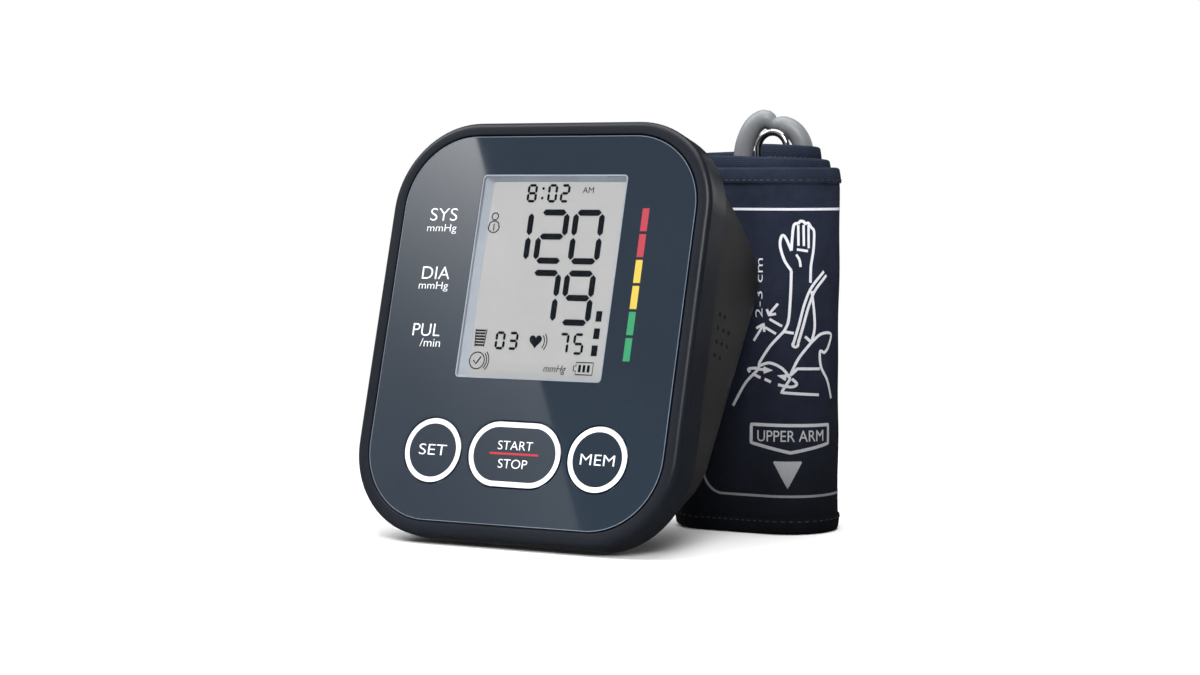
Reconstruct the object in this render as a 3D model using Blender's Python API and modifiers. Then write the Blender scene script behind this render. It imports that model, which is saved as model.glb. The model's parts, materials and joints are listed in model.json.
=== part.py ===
"""Upper arm blood pressure monitor with its rolled cuff.

The monitor stands on its lower edge and leans back. The cuff, rolled round its own air tube,
stands behind it. Lengths in this file are in millimetres and are turned into metres when a mesh is made.
The origin is on the table, under the middle of the whole object's box. +X is the monitor's right,
+Y points away from the reader and +Z is up.
"""

import math

import bmesh
import bpy
from mathutils import Matrix, Vector

MM = 0.001
GAP = 0.3

# ---- driving dimensions of the monitor ----
FACE_WIDTH = 127.6
FACE_HEIGHT = 149.4
FACE_CORNER = 31.8
LEAN = math.radians(15.9)
BEZEL_DEPTH = 13.2
BEZEL_WALL = 2.2
PANEL_INSET = 4.8
PANEL_THICK = 2.0
LEDGE_INSET = 7.2
LEDGE_BACK = 4.4
FACET_CUT = 0.8

# ---- rear housing ----
SEAM = BEZEL_DEPTH + GAP
HOUSING_INSET = 1.6
HOUSING_WALL = 2.2
REAR_SLOPE = math.radians(18.5)
REAR_DEPTH = 43.4
HUMP_SLOPE = -1.808
HUMP_LINE = 115.0
HUMP_BLEND = 21.0
TOE_SLOPE = 0.95
TOE_LINE = 74.1
TOE_BLEND = 7.0
SHOULDER_DEPTH = 15.2
SHOULDER_BLEND = 8.0
EDGE_FILLET = 5.0

# ---- face layout, from the middle of the panel ----
WINDOW = (1.7, 18.5, 58.3, 73.5)
KEY_ROW = -44.6
KEY_RADIUS = 11.6
KEY_CLEARANCE = 0.3
KEY_FLANGE = 0.9
KEY_PLACES = {"key_set": (-32.0, 0.0), "key_start": (1.0, 6.8), "key_mem": (33.5, 0.0)}

# ---- inside the monitor ----
PCB_FRONT = 10.6
PCB_THICK = 1.6
DOME_THICK = 1.0
POST_X = 54.0
POST_ROWS = (40.0, -44.0)
POST_RADIUS = 3.4
POST_BORE = 1.5
BOSS_RADIUS = 4.4
WELL_RADIUS = 3.2
SCREW_HOLE = 1.7
SCREW_LENGTH = 10.4
SCREW_SEAT = 4.3
SCREW_PROFILE = [
    (0.0, 12.3), (2.4, 12.3), (2.7, 11.9), (2.7, SCREW_LENGTH), (1.2, SCREW_LENGTH), (1.2, 0.6), (0.6, 0.0),
    (0.0, 0.0),
]
SPEAKER_X = 59.3
SPEAKER_Z = 4.1
SPEAKER_Y = 25.0
HOLE_ROWS = {-1.5: (0, 1), -0.5: (0, 1, 2), 0.5: (0, 1, 2), 1.5: (0, 1)}
HOLE_PITCH_Z = 4.8
HOLE_PITCH_Y = 4.2
HOLE_RADIUS = 0.9
USB_Z = -32.5
SOCKET_Z = 0.0
SOCKET_Y = 26.0
PUMP_X = -30.0
PUMP_Z = 35.0
PUMP_Y = 25.0

# ---- battery bay, in the frame of the sloping rear face ----
COVER_HALF_WIDTH = 32.5
COVER_LOW = -41.0
COVER_HIGH = 17.0
COVER_THICK = 2.0
COVER_CLEARANCE = 0.5
CELL_RADIUS = 7.1
CELL_LENGTH = 50.0
CELL_PITCH = 14.8
TRAY_WALL = 1.4

# ---- cuff roll ----
CUFF_X = 49.2
CUFF_Y = 78.2
ROLL_RADIUS = 20.0
ROLL_STRAIGHT = 12.3
TURN_PITCH = 3.5
TURN_RISE = 4.6
FLAT_TURNS = 0.6
TURNS = 2.445
CLOTH_HEIGHT = 132.4
CLOTH_THICK = 0.7
BLADDER_THICK = 1.0
BLADDER_MARGIN = 12.0
ARC_STEPS = 12
ARC_SHARE = 0.33
STRAIGHT_SHARE = 0.5 - ARC_SHARE

# ---- air tube and what it joins ----
TUBE_DIAMETER = 7.0
HANK_LOW = 8.0
HANK_HIGH = 112.0
HANK_X = -3.5
HANK_Y = 2.2
HANK_SIZE = (29.5, 14.3)
RIGHT_LEG = (16.3, 3.5)
LEFT_LEG = (-4.0, -1.4)
PLUG_PLACE = (7.6, 5.2)
NIPPLE_TOP = 112.0
ARCH_APEX = 147.0
RING_X = 9.9
RING_Y = -6.4
RING_WIDTH = 11.2
RING_WIRE = 2.6
RING_LOW = 6.0
RING_HIGH = 144.5

# ---- place of the whole object: the middle of its box is the origin ----
SHIFT_X = -8.41
SHIFT_Y = -39.81

for old in list(bpy.data.objects):
    bpy.data.objects.remove(old, do_unlink=True)

PARTS = bpy.data.collections.new("blood_pressure_monitor")
CUTTERS = bpy.data.collections.new("cutters")
bpy.context.scene.collection.children.link(PARTS)
bpy.context.scene.collection.children.link(CUTTERS)


# ---------------------------------------------------------------- materials

def material(name, colour, roughness, metallic=0.0):
    """A Principled material with one colour."""
    made = bpy.data.materials.new(name)
    made.use_nodes = True
    shader = made.node_tree.nodes["Principled BSDF"]
    shader.inputs["Base Color"].default_value = (*colour, 1.0)
    shader.inputs["Roughness"].default_value = roughness
    shader.inputs["Metallic"].default_value = metallic
    return made


NAVY = material("navy_plastic", (0.022, 0.030, 0.046), 0.35)
PANEL = material("panel_gloss", (0.032, 0.050, 0.075), 0.08)
CLEAR = material("clear_acrylic", (0.8, 0.85, 0.85), 0.03)
LCD = material("lcd_glass", (0.52, 0.53, 0.51), 0.25)
GREY_PLASTIC = material("grey_plastic", (0.35, 0.35, 0.36), 0.45)
HOUSING = material("housing_plastic", (0.026, 0.024, 0.023), 0.5)
BOARD = material("circuit_board", (0.02, 0.16, 0.07), 0.4)
BLACK = material("black_plastic", (0.012, 0.012, 0.013), 0.45)
RUBBER = material("rubber", (0.02, 0.02, 0.02), 0.8)
STEEL = material("steel", (0.55, 0.55, 0.56), 0.3, 1.0)
CHROME = material("chrome", (0.85, 0.85, 0.86), 0.08, 1.0)
BRASS = material("brass", (0.72, 0.55, 0.25), 0.3, 1.0)
CELL = material("cell_jacket", (0.05, 0.12, 0.25), 0.35)
NYLON = material("nylon_cloth", (0.014, 0.017, 0.042), 0.85)
BLADDER = material("bladder_rubber", (0.10, 0.10, 0.11), 0.7)
TUBE = material("grey_tube", (0.40, 0.41, 0.42), 0.35)


# ---------------------------------------------------------------- frames

def frame(name, location, tilt=0.0, parent=None):
    """An empty that carries a group of pieces; tilt turns it about its X axis."""
    empty = bpy.data.objects.new(name, None)
    empty.location = Vector(location) * MM
    empty.rotation_euler = (tilt, 0.0, 0.0)
    empty.parent = parent
    PARTS.objects.link(empty)
    return empty


FACE_BASE = FACE_HEIGHT / 2 * math.cos(LEAN) + (BEZEL_DEPTH + 1.0) * math.sin(LEAN) - FACET_CUT
TABLE = frame("table_frame", (SHIFT_X, SHIFT_Y, 0.0))
MONITOR = frame("monitor_frame", (0.0, 0.0, FACE_BASE), -LEAN, TABLE)
REAR = frame("rear_frame", (0.0, REAR_DEPTH, 0.0), -REAR_SLOPE, MONITOR)
ROLL = frame("cuff_frame", (CUFF_X, CUFF_Y, 0.0), 0.0, TABLE)


# ---------------------------------------------------------------- making shapes

def place(name, data, look, parent, collection=PARTS):
    """Link a mesh or curve as one object with its material and parent."""
    made = bpy.data.objects.new(name, data)
    made.data.materials.append(look)
    made.parent = parent
    collection.objects.link(made)
    if collection is CUTTERS:
        made.hide_render = True
        made.display_type = "WIRE"
    return made


def mesh_object(name, bm, look, parent, collection=PARTS, smooth_angle=40.0):
    """Turn a bmesh into an object, faces out, shaded smooth with sharp creases."""
    bmesh.ops.recalc_face_normals(bm, faces=bm.faces)
    mesh = bpy.data.meshes.new(name)
    bm.to_mesh(mesh)
    bm.free()
    mesh.shade_smooth()
    mesh.set_sharp_from_angle(angle=math.radians(smooth_angle))
    return place(name, mesh, look, parent, collection)


def box(name, low, high, look, parent, collection=PARTS, bevel=0.0):
    """A block between two corners, with an optional small bevel."""
    bm = bmesh.new()
    bmesh.ops.create_cube(bm, size=1.0)
    size = [(b - a) * MM for a, b in zip(low, high)]
    centre = Vector([(a + b) / 2 * MM for a, b in zip(low, high)])
    bmesh.ops.scale(bm, vec=size, verts=bm.verts)
    bmesh.ops.translate(bm, vec=centre, verts=bm.verts)
    made = mesh_object(name, bm, look, parent, collection)
    if bevel:
        rounding = made.modifiers.new("edges", "BEVEL")
        rounding.width = bevel * MM
        rounding.segments = 2
    return made


TURN_TO = {
    "X": Matrix.Rotation(math.pi / 2, 4, "Y"),
    "Y": Matrix.Rotation(-math.pi / 2, 4, "X"),
    "Z": Matrix.Identity(4),
    "-X": Matrix.Rotation(-math.pi / 2, 4, "Y"),
    "-Y": Matrix.Rotation(math.pi / 2, 4, "X"),
}


def cylinder(name, radius, start, length, axis, look, parent, collection=PARTS, segments=20):
    """A round bar from start, running along +axis."""
    bm = bmesh.new()
    bmesh.ops.create_cone(
        bm, cap_ends=True, segments=segments, radius1=radius * MM, radius2=radius * MM, depth=length * MM
    )
    bmesh.ops.translate(bm, vec=(0.0, 0.0, length / 2 * MM), verts=bm.verts)
    bmesh.ops.transform(bm, matrix=TURN_TO[axis], verts=bm.verts)
    bmesh.ops.translate(bm, vec=Vector(start) * MM, verts=bm.verts)
    return mesh_object(name, bm, look, parent, collection)


def turned(name, profile, start, axis, look, parent, steps=24):
    """A turned piece: profile is (radius, height) from the top on the axis to the bottom on the axis."""
    mesh = bpy.data.meshes.new(name)
    points = [(radius * MM, 0.0, height * MM) for radius, height in profile]
    edges = [(i, i + 1) for i in range(len(points) - 1)]
    mesh.from_pydata(points, edges, [])
    made = place(name, mesh, look, parent)
    made.matrix_local = Matrix.Translation(Vector(start) * MM) @ TURN_TO[axis]
    screw = made.modifiers.new("turn", "SCREW")
    screw.axis = "Z"
    screw.steps = steps
    screw.render_steps = steps
    screw.use_merge_vertices = True
    screw.merge_threshold = 0.00001
    return made


def loft(name, loops, look, parent, collection=PARTS, ring=False):
    """Join closed loops of points in order; a ring also joins the last to the first."""
    bm = bmesh.new()
    rows = [[bm.verts.new(Vector(point) * MM) for point in loop] for loop in loops]
    count = len(loops[0])
    pairs = list(zip(rows, rows[1:]))
    if ring:
        pairs.append((rows[-1], rows[0]))
    for lower, upper in pairs:
        for i in range(count):
            j = (i + 1) % count
            bm.faces.new((lower[i], lower[j], upper[j], upper[i]))
    if not ring:
        bm.faces.new(list(reversed(rows[0])))
        bm.faces.new(rows[-1])
    return mesh_object(name, bm, look, parent, collection)


def plate(name, outlines, front, back, look, parent):
    """A flat piece from closed outlines in the face plane; the first is its edge, the rest are holes."""
    curve = bpy.data.curves.new(name, "CURVE")
    curve.dimensions = "2D"
    curve.fill_mode = "BOTH"
    curve.extrude = (back - front) / 2 * MM
    for outline in outlines:
        spline = curve.splines.new("POLY")
        spline.points.add(len(outline) - 1)
        for point, (x, z) in zip(spline.points, outline):
            point.co = (x * MM, z * MM, 0.0, 1.0)
        spline.use_cyclic_u = True
    made = place(name, curve, look, parent)
    made.location = (0.0, (front + back) / 2 * MM, 0.0)
    made.rotation_euler = (math.pi / 2, 0.0, 0.0)
    return made


def smooth_route(points, samples):
    """Points along a smooth curve through the route's own points, ends included."""
    padded = [points[0]] + list(points) + [points[-1]]
    route = []
    for i in range(1, len(padded) - 2):
        a, b, c, d = (Vector(padded[i + k]) for k in (-1, 0, 1, 2))
        for s in range(samples):
            t = s / samples
            curve = (2 * a - 5 * b + 4 * c - d) * t * t + (3 * b - a - 3 * c + d) * t**3
            route.append(0.5 * (2 * b + (c - a) * t + curve))
    route.append(Vector(padded[-2]))
    return route


def wire(name, points, radius, look, parent, resolution=2, closed=False):
    """A round wire or tube along points."""
    curve = bpy.data.curves.new(name, "CURVE")
    curve.dimensions = "3D"
    curve.bevel_depth = radius * MM
    curve.bevel_resolution = resolution
    curve.use_fill_caps = True
    spline = curve.splines.new("POLY")
    spline.points.add(len(points) - 1)
    for target, point in zip(spline.points, points):
        target.co = (point[0] * MM, point[1] * MM, point[2] * MM, 1.0)
    spline.use_cyclic_u = closed
    return place(name, curve, look, parent)


def boolean(target, cutter, operation="DIFFERENCE"):
    """Cut or join target with a closed cutter in the same frame."""
    step = target.modifiers.new(cutter.name, "BOOLEAN")
    step.operation = operation
    step.object = cutter
    step.solver = "EXACT"


# ---------------------------------------------------------------- outlines

def half_outline(half_width, half_height, radius, rows=0, corner_steps=8):
    """The right half of a rounded rectangle, from bottom to top, with extra points up its side."""
    points = []
    for i in range(corner_steps + 1):
        angle = -math.pi / 2 + math.pi / 2 * i / corner_steps
        points.append(
            (half_width - radius + radius * math.cos(angle), -half_height + radius + radius * math.sin(angle))
        )
    straight = half_height - radius
    for i in range(1, rows + 1):
        points.append((half_width, -straight + 2 * straight * i / (rows + 1)))
    for i in range(corner_steps + 1):
        angle = math.pi / 2 * i / corner_steps
        points.append(
            (half_width - radius + radius * math.cos(angle), half_height - radius + radius * math.sin(angle))
        )
    return points


def rounded_outline(half_width, half_height, radius, rows=0, corner_steps=8):
    """A closed rounded rectangle about the origin."""
    right = half_outline(half_width, half_height, radius, rows, corner_steps)
    return right + [(-x, z) for x, z in reversed(right)]


def face_outline(inset, rows=0):
    """The monitor's outline, drawn in by inset."""
    return rounded_outline(FACE_WIDTH / 2 - inset, FACE_HEIGHT / 2 - inset, FACE_CORNER - inset, rows)


def window_outline(grow):
    """The display window's outline."""
    x, z, width, height = WINDOW
    outline = rounded_outline(width / 2 + grow, height / 2 + grow, 1.5, 0, 3)
    return [(x + px, z + pz) for px, pz in outline]


def stadium(centre_x, centre_z, half_straight, radius, steps=10):
    """Two half circles joined by straight sides; a half_straight of zero gives a circle."""
    points = []
    for side, start in ((1, -math.pi / 2), (-1, math.pi / 2)):
        for i in range(steps + 1):
            if half_straight == 0.0 and i == steps:
                continue
            angle = start + math.pi * i / steps
            x = centre_x + side * half_straight + radius * math.cos(angle)
            points.append((x, centre_z + radius * math.sin(angle)))
    return points


def at_depth(outline, depth):
    """Put a face-plane outline at a depth behind the face."""
    return [(x, depth, z) for x, z in outline]


# ---------------------------------------------------------------- front of the monitor

def screw_places():
    """(tag, x, z, number) of the four screws that hold the two shells together."""
    places = []
    for number, row in enumerate(POST_ROWS):
        for side in (1, -1):
            tag = f"{'right' if side > 0 else 'left'}_{'top' if row > 0 else 'bottom'}"
            places.append((tag, side * POST_X, row, number * 2 + (1 if side > 0 else 2)))
    return places


def make_front():
    """Bezel, panel, window and display; gives back the cutter that flattens what stands on the table."""
    bezel_profile = [
        (1.5, 0.0), (0.4, 0.4), (0.0, 1.5), (0.0, BEZEL_DEPTH), (BEZEL_WALL, BEZEL_DEPTH),
        (BEZEL_WALL, LEDGE_BACK), (LEDGE_INSET, LEDGE_BACK), (LEDGE_INSET, PANEL_THICK + 2 * GAP),
        (PANEL_INSET, PANEL_THICK + 2 * GAP), (PANEL_INSET, 0.0),
    ]
    loops = [at_depth(face_outline(inset), depth) for inset, depth in bezel_profile]
    bezel = loft("front_bezel", loops, NAVY, MONITOR, ring=True)
    for tag, x, z, _ in screw_places():
        post = cylinder("post_" + tag, POST_RADIUS, (x, 3.4, z), 9.5, "Y", NAVY, MONITOR, CUTTERS, 16)
        boolean(bezel, post, "UNION")
        bore = cylinder("bore_" + tag, POST_BORE, (x, 5.5, z), 9.0, "Y", NAVY, MONITOR, CUTTERS, 12)
        boolean(bezel, bore)
    table = box(
        "table_cut", (-80.0, -80.0, -30.0), (80.0, 120.0, 0.0), NAVY, TABLE, CUTTERS
    )
    boolean(bezel, table)

    holes = [window_outline(0.0)]
    for centre, half_straight in KEY_PLACES.values():
        holes.append(stadium(centre, KEY_ROW, half_straight, KEY_RADIUS + KEY_CLEARANCE, 14))
    plate(
        "front_panel", [face_outline(PANEL_INSET + GAP)] + holes, 0.1, 0.1 + PANEL_THICK, PANEL, MONITOR
    )
    plate("window_lens", [window_outline(-GAP)], 0.1, 1.3, CLEAR, MONITOR)
    x, z, width, height = WINDOW
    half_w = width / 2 + 2.5
    half_h = height / 2 + 2.5
    box("lcd_module", (x - half_w, 2.7, z - half_h), (x + half_w, 5.3, z + half_h), LCD, MONITOR)
    box(
        "backlight", (x - half_w, 5.6, z - half_h), (x + half_w, 9.4, z + half_h), GREY_PLASTIC, MONITOR
    )
    return table


def make_keys():
    """Three key caps with a flange behind the panel and a stem that reaches a dome switch."""
    for name, (centre, half_straight) in KEY_PLACES.items():
        sections = [
            (KEY_RADIUS - 0.4, 0.1), (KEY_RADIUS, 0.4), (KEY_RADIUS, 3.2), (KEY_RADIUS + KEY_FLANGE, 3.2),
            (KEY_RADIUS + KEY_FLANGE, 4.2), (2.5, 4.2), (2.5, 8.1),
        ]
        loops = [
            at_depth(stadium(centre, KEY_ROW, half_straight, radius, 14), depth)
            for radius, depth in sections
        ]
        loft(name, loops, PANEL, MONITOR)
        dome = name.replace("key", "dome")
        turned(
            dome, [(0.0, DOME_THICK), (1.6, 0.9), (2.8, 0.4), (3.0, 0.0), (0.0, 0.0)],
            (centre, PCB_FRONT - GAP, KEY_ROW), "-Y", STEEL, MONITOR, 16
        )


def make_board():
    """The circuit board with its processor, pressure sensor and power socket."""
    outline = rounded_outline(49.5, 64.0, 14.0, 0, 5)
    plate("main_pcb", [outline], PCB_FRONT, PCB_FRONT + PCB_THICK, BOARD, MONITOR)
    rear = PCB_FRONT + PCB_THICK + GAP
    box("processor", (8.0, rear, -58.0), (22.0, rear + 1.6, -44.0), BLACK, MONITOR)
    box(
        "pressure_sensor", (-28.0, rear, -54.0), (-19.0, rear + 3.5, -45.0), GREY_PLASTIC, MONITOR,
        bevel=0.5
    )
    box("usb_socket", (53.5, SEAM + 0.2, USB_Z - 4.5), (61.2, SEAM + 2.8, USB_Z + 4.5), STEEL, MONITOR)
    mouth = box(
        "usb_mouth", (56.0, SEAM + 0.7, USB_Z - 4.0), (62.0, SEAM + 2.3, USB_Z + 4.0), STEEL, MONITOR,
        CUTTERS
    )
    boolean(bpy.data.objects["usb_socket"], mouth)


# ---------------------------------------------------------------- rear housing

def soft_min(a, b, blend):
    """The lower of two heights, rounded where they cross."""
    closeness = max(blend - abs(a - b), 0.0)
    return min(a, b) - closeness * closeness / (4 * blend)


def rear_depth(z):
    """Depth of the rear surface behind the face at a height z up the face."""
    flat = REAR_DEPTH + math.tan(REAR_SLOPE) * z
    depth = soft_min(flat, HUMP_LINE + HUMP_SLOPE * z, HUMP_BLEND)
    depth = soft_min(depth, TOE_LINE + TOE_SLOPE * z, TOE_BLEND)
    return -soft_min(-depth, -SHOULDER_DEPTH, SHOULDER_BLEND)


def rear_volume(name, inset, wall, front, collection=PARTS):
    """The volume under the rear surface, drawn in by inset at the sides and by wall at the back."""
    right = half_outline(FACE_WIDTH / 2 - inset, FACE_HEIGHT / 2 - inset, FACE_CORNER - inset, 21)
    step = 0.5
    rows = []
    for x, z in right:
        slope = (rear_depth(z + step) - rear_depth(z - step)) / (2 * step)
        depth = max(rear_depth(z) - wall * math.sqrt(1 + slope * slope), front + 0.8)
        fillet = min(EDGE_FILLET, 0.7 * (depth - front))
        section = [(x, front)]
        for turn in (0, 1, 2, 3):
            angle = math.pi / 2 * turn / 3
            section.append((fillet * (1 - math.cos(angle)), depth - fillet * (1 - math.sin(angle))))
        rows.append((x, z, section))
    centre_x = FACE_WIDTH / 2 - FACE_CORNER
    centre_z = FACE_HEIGHT / 2 - FACE_CORNER
    loops = [[] for _ in range(5)]
    for x, z, section in rows:
        away_x = max(abs(x) - centre_x, 0.0)
        away_z = max(abs(z) - centre_z, 0.0) * (1 if z > 0 else -1)
        reach = math.hypot(away_x, away_z) or 1.0
        for k, (shift, depth) in enumerate(section):
            drawn = 0.0 if k == 0 else shift
            loops[k].append((x - drawn * away_x / reach, depth, z - drawn * away_z / reach))
    loops = [half + [(-x, y, z) for x, y, z in reversed(half)] for half in loops]

    bm = bmesh.new()
    verts = [[bm.verts.new(Vector(point) * MM) for point in loop] for loop in loops]
    count = len(loops[0])
    for lower, upper in zip(verts, verts[1:]):
        for i in range(count):
            j = (i + 1) % count
            bm.faces.new((lower[i], lower[j], upper[j], upper[i]))
    for ring in (verts[0], verts[-1]):
        for i in range(count // 2 - 1):
            bm.faces.new((ring[i], ring[i + 1], ring[count - 2 - i], ring[count - 1 - i]))
    return mesh_object(name, bm, HOUSING, MONITOR, collection, 30.0)


def make_housing(table):
    """The rear shell: hollow first, so that the screw bosses keep their walls, then the wells and holes."""
    housing = rear_volume("rear_housing", HOUSING_INSET, 0.0, SEAM)
    cavity = rear_volume("cavity", HOUSING_INSET + HOUSING_WALL, HOUSING_WALL, SEAM - 0.5, CUTTERS)
    for tag, x, z, _ in screw_places():
        boss = cylinder(
            "boss_" + tag, BOSS_RADIUS, (x, SEAM - 2.0, z), 45.0, "Y", HOUSING, MONITOR, CUTTERS, 16
        )
        boolean(cavity, boss)
    boolean(housing, cavity)
    for tag, x, z, number in screw_places():
        well = cylinder(
            "well_" + tag, WELL_RADIUS, (x, SEAM + 4.0, z), 45.0, "Y", HOUSING, MONITOR, CUTTERS, 16
        )
        boolean(housing, well)
        hole = cylinder(
            "hole_" + tag, SCREW_HOLE, (x, SEAM - 2.0, z), 10.0, "Y", HOUSING, MONITOR, CUTTERS, 12
        )
        boolean(housing, hole)
        start = (x, SEAM + SCREW_SEAT - SCREW_LENGTH, z)
        turned(f"housing_screw_{number}", SCREW_PROFILE, start, "Y", STEEL, MONITOR, 16)
    boolean(housing, table)
    return housing


def make_side_openings(housing):
    """The power slot, the speaker holes and the air opening, with the speaker behind its holes."""
    slot = box(
        "usb_slot", (59.0, SEAM - 1.0, USB_Z - 5.9), (64.0, SEAM + 3.1, USB_Z + 5.9), HOUSING, MONITOR,
        CUTTERS
    )
    boolean(housing, slot)
    for row, columns in HOLE_ROWS.items():
        for column in columns:
            hole_y = SPEAKER_Y + (column - 1) * HOLE_PITCH_Y
            hole_z = SPEAKER_Z + row * HOLE_PITCH_Z
            hole = cylinder(
                f"speaker_hole_{row}_{column}", HOLE_RADIUS, (57.0, hole_y, hole_z), 8.0, "X",
                HOUSING, MONITOR, CUTTERS, 8
            )
            boolean(housing, hole)
    opening = cylinder(
        "air_opening", 5.2, (-65.0, SOCKET_Y, SOCKET_Z), 8.0, "X", HOUSING, MONITOR, CUTTERS, 20
    )
    boolean(housing, opening)
    turned(
        "speaker", [(0.0, 4.0), (5.0, 4.0), (5.5, 1.5), (9.0, 1.2), (9.0, 0.0), (0.0, 0.0)],
        (SPEAKER_X, SPEAKER_Y, SPEAKER_Z), "-X", BLACK, MONITOR, 20
    )


# ---------------------------------------------------------------- air system

def make_air_system():
    """Air socket, manifold, release valve, pump with its motor, and the hose between them."""
    socket = cylinder(
        "air_socket", 4.8, (-62.2, SOCKET_Y, SOCKET_Z), 12.0, "X", GREY_PLASTIC, MONITOR, segments=20
    )
    bore = cylinder(
        "air_bore", 2.4, (-63.0, SOCKET_Y, SOCKET_Z), 10.0, "X", GREY_PLASTIC, MONITOR, CUTTERS, 16
    )
    boolean(socket, bore)
    box(
        "air_manifold", (-49.9, SOCKET_Y - 6.0, SOCKET_Z - 5.5), (-38.0, SOCKET_Y + 5.0, SOCKET_Z + 5.5),
        GREY_PLASTIC, MONITOR, bevel=0.8
    )
    valve = box(
        "valve_body", (-49.9, SOCKET_Y - 6.0, SOCKET_Z - 25.0),
        (-38.0, SOCKET_Y + 5.0, SOCKET_Z - 5.8), STEEL, MONITOR
    )
    bore_x = -44.0
    valve_bore = cylinder(
        "valve_bore", 2.3, (bore_x, SOCKET_Y - 0.5, SOCKET_Z - 30.0), 18.0, "Z", STEEL, MONITOR, CUTTERS, 16
    )
    boolean(valve, valve_bore)
    turned(
        "valve_plunger", [(0.0, 12.0), (1.6, 12.0), (2.0, 11.4), (2.0, 0.4), (1.6, 0.0), (0.0, 0.0)],
        (bore_x, SOCKET_Y - 0.5, SOCKET_Z - 26.0), "Z", BRASS, MONITOR, 16
    )
    turned(
        "pump_head",
        [(0.0, 18.0), (10.0, 18.0), (10.5, 17.5), (10.5, 0.0), (8.2, 0.0), (8.2, 7.0), (0.0, 7.0)],
        (PUMP_X, PUMP_Y, PUMP_Z), "-X", GREY_PLASTIC, MONITOR, 20
    )
    turned(
        "pump_crank", [(0.0, 5.0), (7.0, 5.0), (7.0, 0.8), (1.8, 0.8), (1.8, 0.0), (0.0, 0.0)],
        (PUMP_X - 5.6, PUMP_Y, PUMP_Z), "X", BRASS, MONITOR, 20
    )
    turned(
        "pump_motor",
        [(0.0, 26.0), (3.0, 26.0), (3.0, 24.0), (9.6, 24.0), (10.2, 23.0), (10.2, 0.0), (0.0, 0.0)],
        (PUMP_X + 0.4, PUMP_Y, PUMP_Z), "X", STEEL, MONITOR, 20
    )
    hose = smooth_route(
        [(-44.0, SOCKET_Y, SOCKET_Z + 5.9), (-44.2, SOCKET_Y - 0.1, SOCKET_Z + 10.0),
         (-43.0, PUMP_Y + 0.4, PUMP_Z - 16.0), (-42.5, PUMP_Y, PUMP_Z - 10.9)], 3
    )
    wire("pump_hose", hose, 2.0, RUBBER, MONITOR)
    board_rear = PCB_FRONT + PCB_THICK + GAP
    box(
        "pump_saddle", (-24.0, board_rear, PUMP_Z - 6.0), (-4.0, PUMP_Y - 10.6, PUMP_Z + 6.0), RUBBER, MONITOR
    )


# ---------------------------------------------------------------- battery bay, in the rear frame

def make_battery_bay(housing):
    """The opening, cover, tray, four cells and their contact strips."""
    opening = box(
        "battery_opening",
        (-COVER_HALF_WIDTH - COVER_CLEARANCE, -6.0, COVER_LOW - COVER_CLEARANCE),
        (COVER_HALF_WIDTH + COVER_CLEARANCE, 4.0, COVER_HIGH + COVER_CLEARANCE), HOUSING, REAR, CUTTERS
    )
    boolean(housing, opening)
    cover = box(
        "battery_cover", (-COVER_HALF_WIDTH, -COVER_THICK, COVER_LOW), (COVER_HALF_WIDTH, 0.0, COVER_HIGH),
        HOUSING, REAR
    )
    for number in range(4):
        rib = box(
            f"grip_{number}", (-9.0, -0.5, COVER_LOW + 4.0 + number * 1.8),
            (9.0, 1.0, COVER_LOW + 4.8 + number * 1.8), HOUSING, REAR, CUTTERS
        )
        boolean(cover, rib)

    middle = (COVER_LOW + COVER_HIGH) / 2
    half_length = CELL_LENGTH / 2 + 2.6
    half_width = 2 * CELL_PITCH + 0.3
    front = -HOUSING_WALL - GAP - 0.1
    back = front - 2 * CELL_RADIUS - 0.6
    tray = box(
        "battery_tray", (-half_width - TRAY_WALL, back - TRAY_WALL, middle - half_length - TRAY_WALL),
        (half_width + TRAY_WALL, front, middle + half_length + TRAY_WALL), BLACK, REAR
    )
    hollow = box(
        "tray_hollow", (-half_width, back, middle - half_length),
        (half_width, front + 2.0, middle + half_length), BLACK, REAR, CUTTERS
    )
    boolean(tray, hollow)
    cell_y = front - CELL_RADIUS - 0.3
    for number in range(4):
        x = (number - 1.5) * CELL_PITCH
        upright = number % 2 == 0
        base = middle - CELL_LENGTH / 2
        cell = turned(
            f"battery_{number + 1}",
            [(0.0, CELL_LENGTH), (2.6, CELL_LENGTH), (2.6, CELL_LENGTH - 1.5), (6.5, CELL_LENGTH - 1.5),
             (CELL_RADIUS, CELL_LENGTH - 2.2), (CELL_RADIUS, 0.5), (6.6, 0.0), (0.0, 0.0)],
            (x, cell_y, base), "Z", CELL, REAR, 20
        )
        if not upright:
            cell.location = Vector((x, cell_y, base + CELL_LENGTH)) * MM
            cell.rotation_euler = (math.pi, 0.0, 0.0)
    strips = {"contact_top": middle + half_length - 0.9, "contact_bottom": middle - half_length + 0.3}
    for name, low in strips.items():
        box(
            name, (-half_width + 1.0, cell_y - 5.0, low), (half_width - 1.0, cell_y + 5.0, low + 0.6),
            STEEL, REAR
        )


def make_feet():
    """Four rubber feet on the sloping rear face."""
    number = 0
    for x in (-46.0, 46.0):
        for z in (-38.0, 18.0):
            number += 1
            turned(
                f"rubber_foot_{number}", [(0.0, 1.6), (3.6, 1.6), (4.5, 0.9), (4.5, 0.0), (0.0, 0.0)],
                (x, GAP, z), "Y", RUBBER, REAR, 20
            )


# ---------------------------------------------------------------- cuff roll

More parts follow.
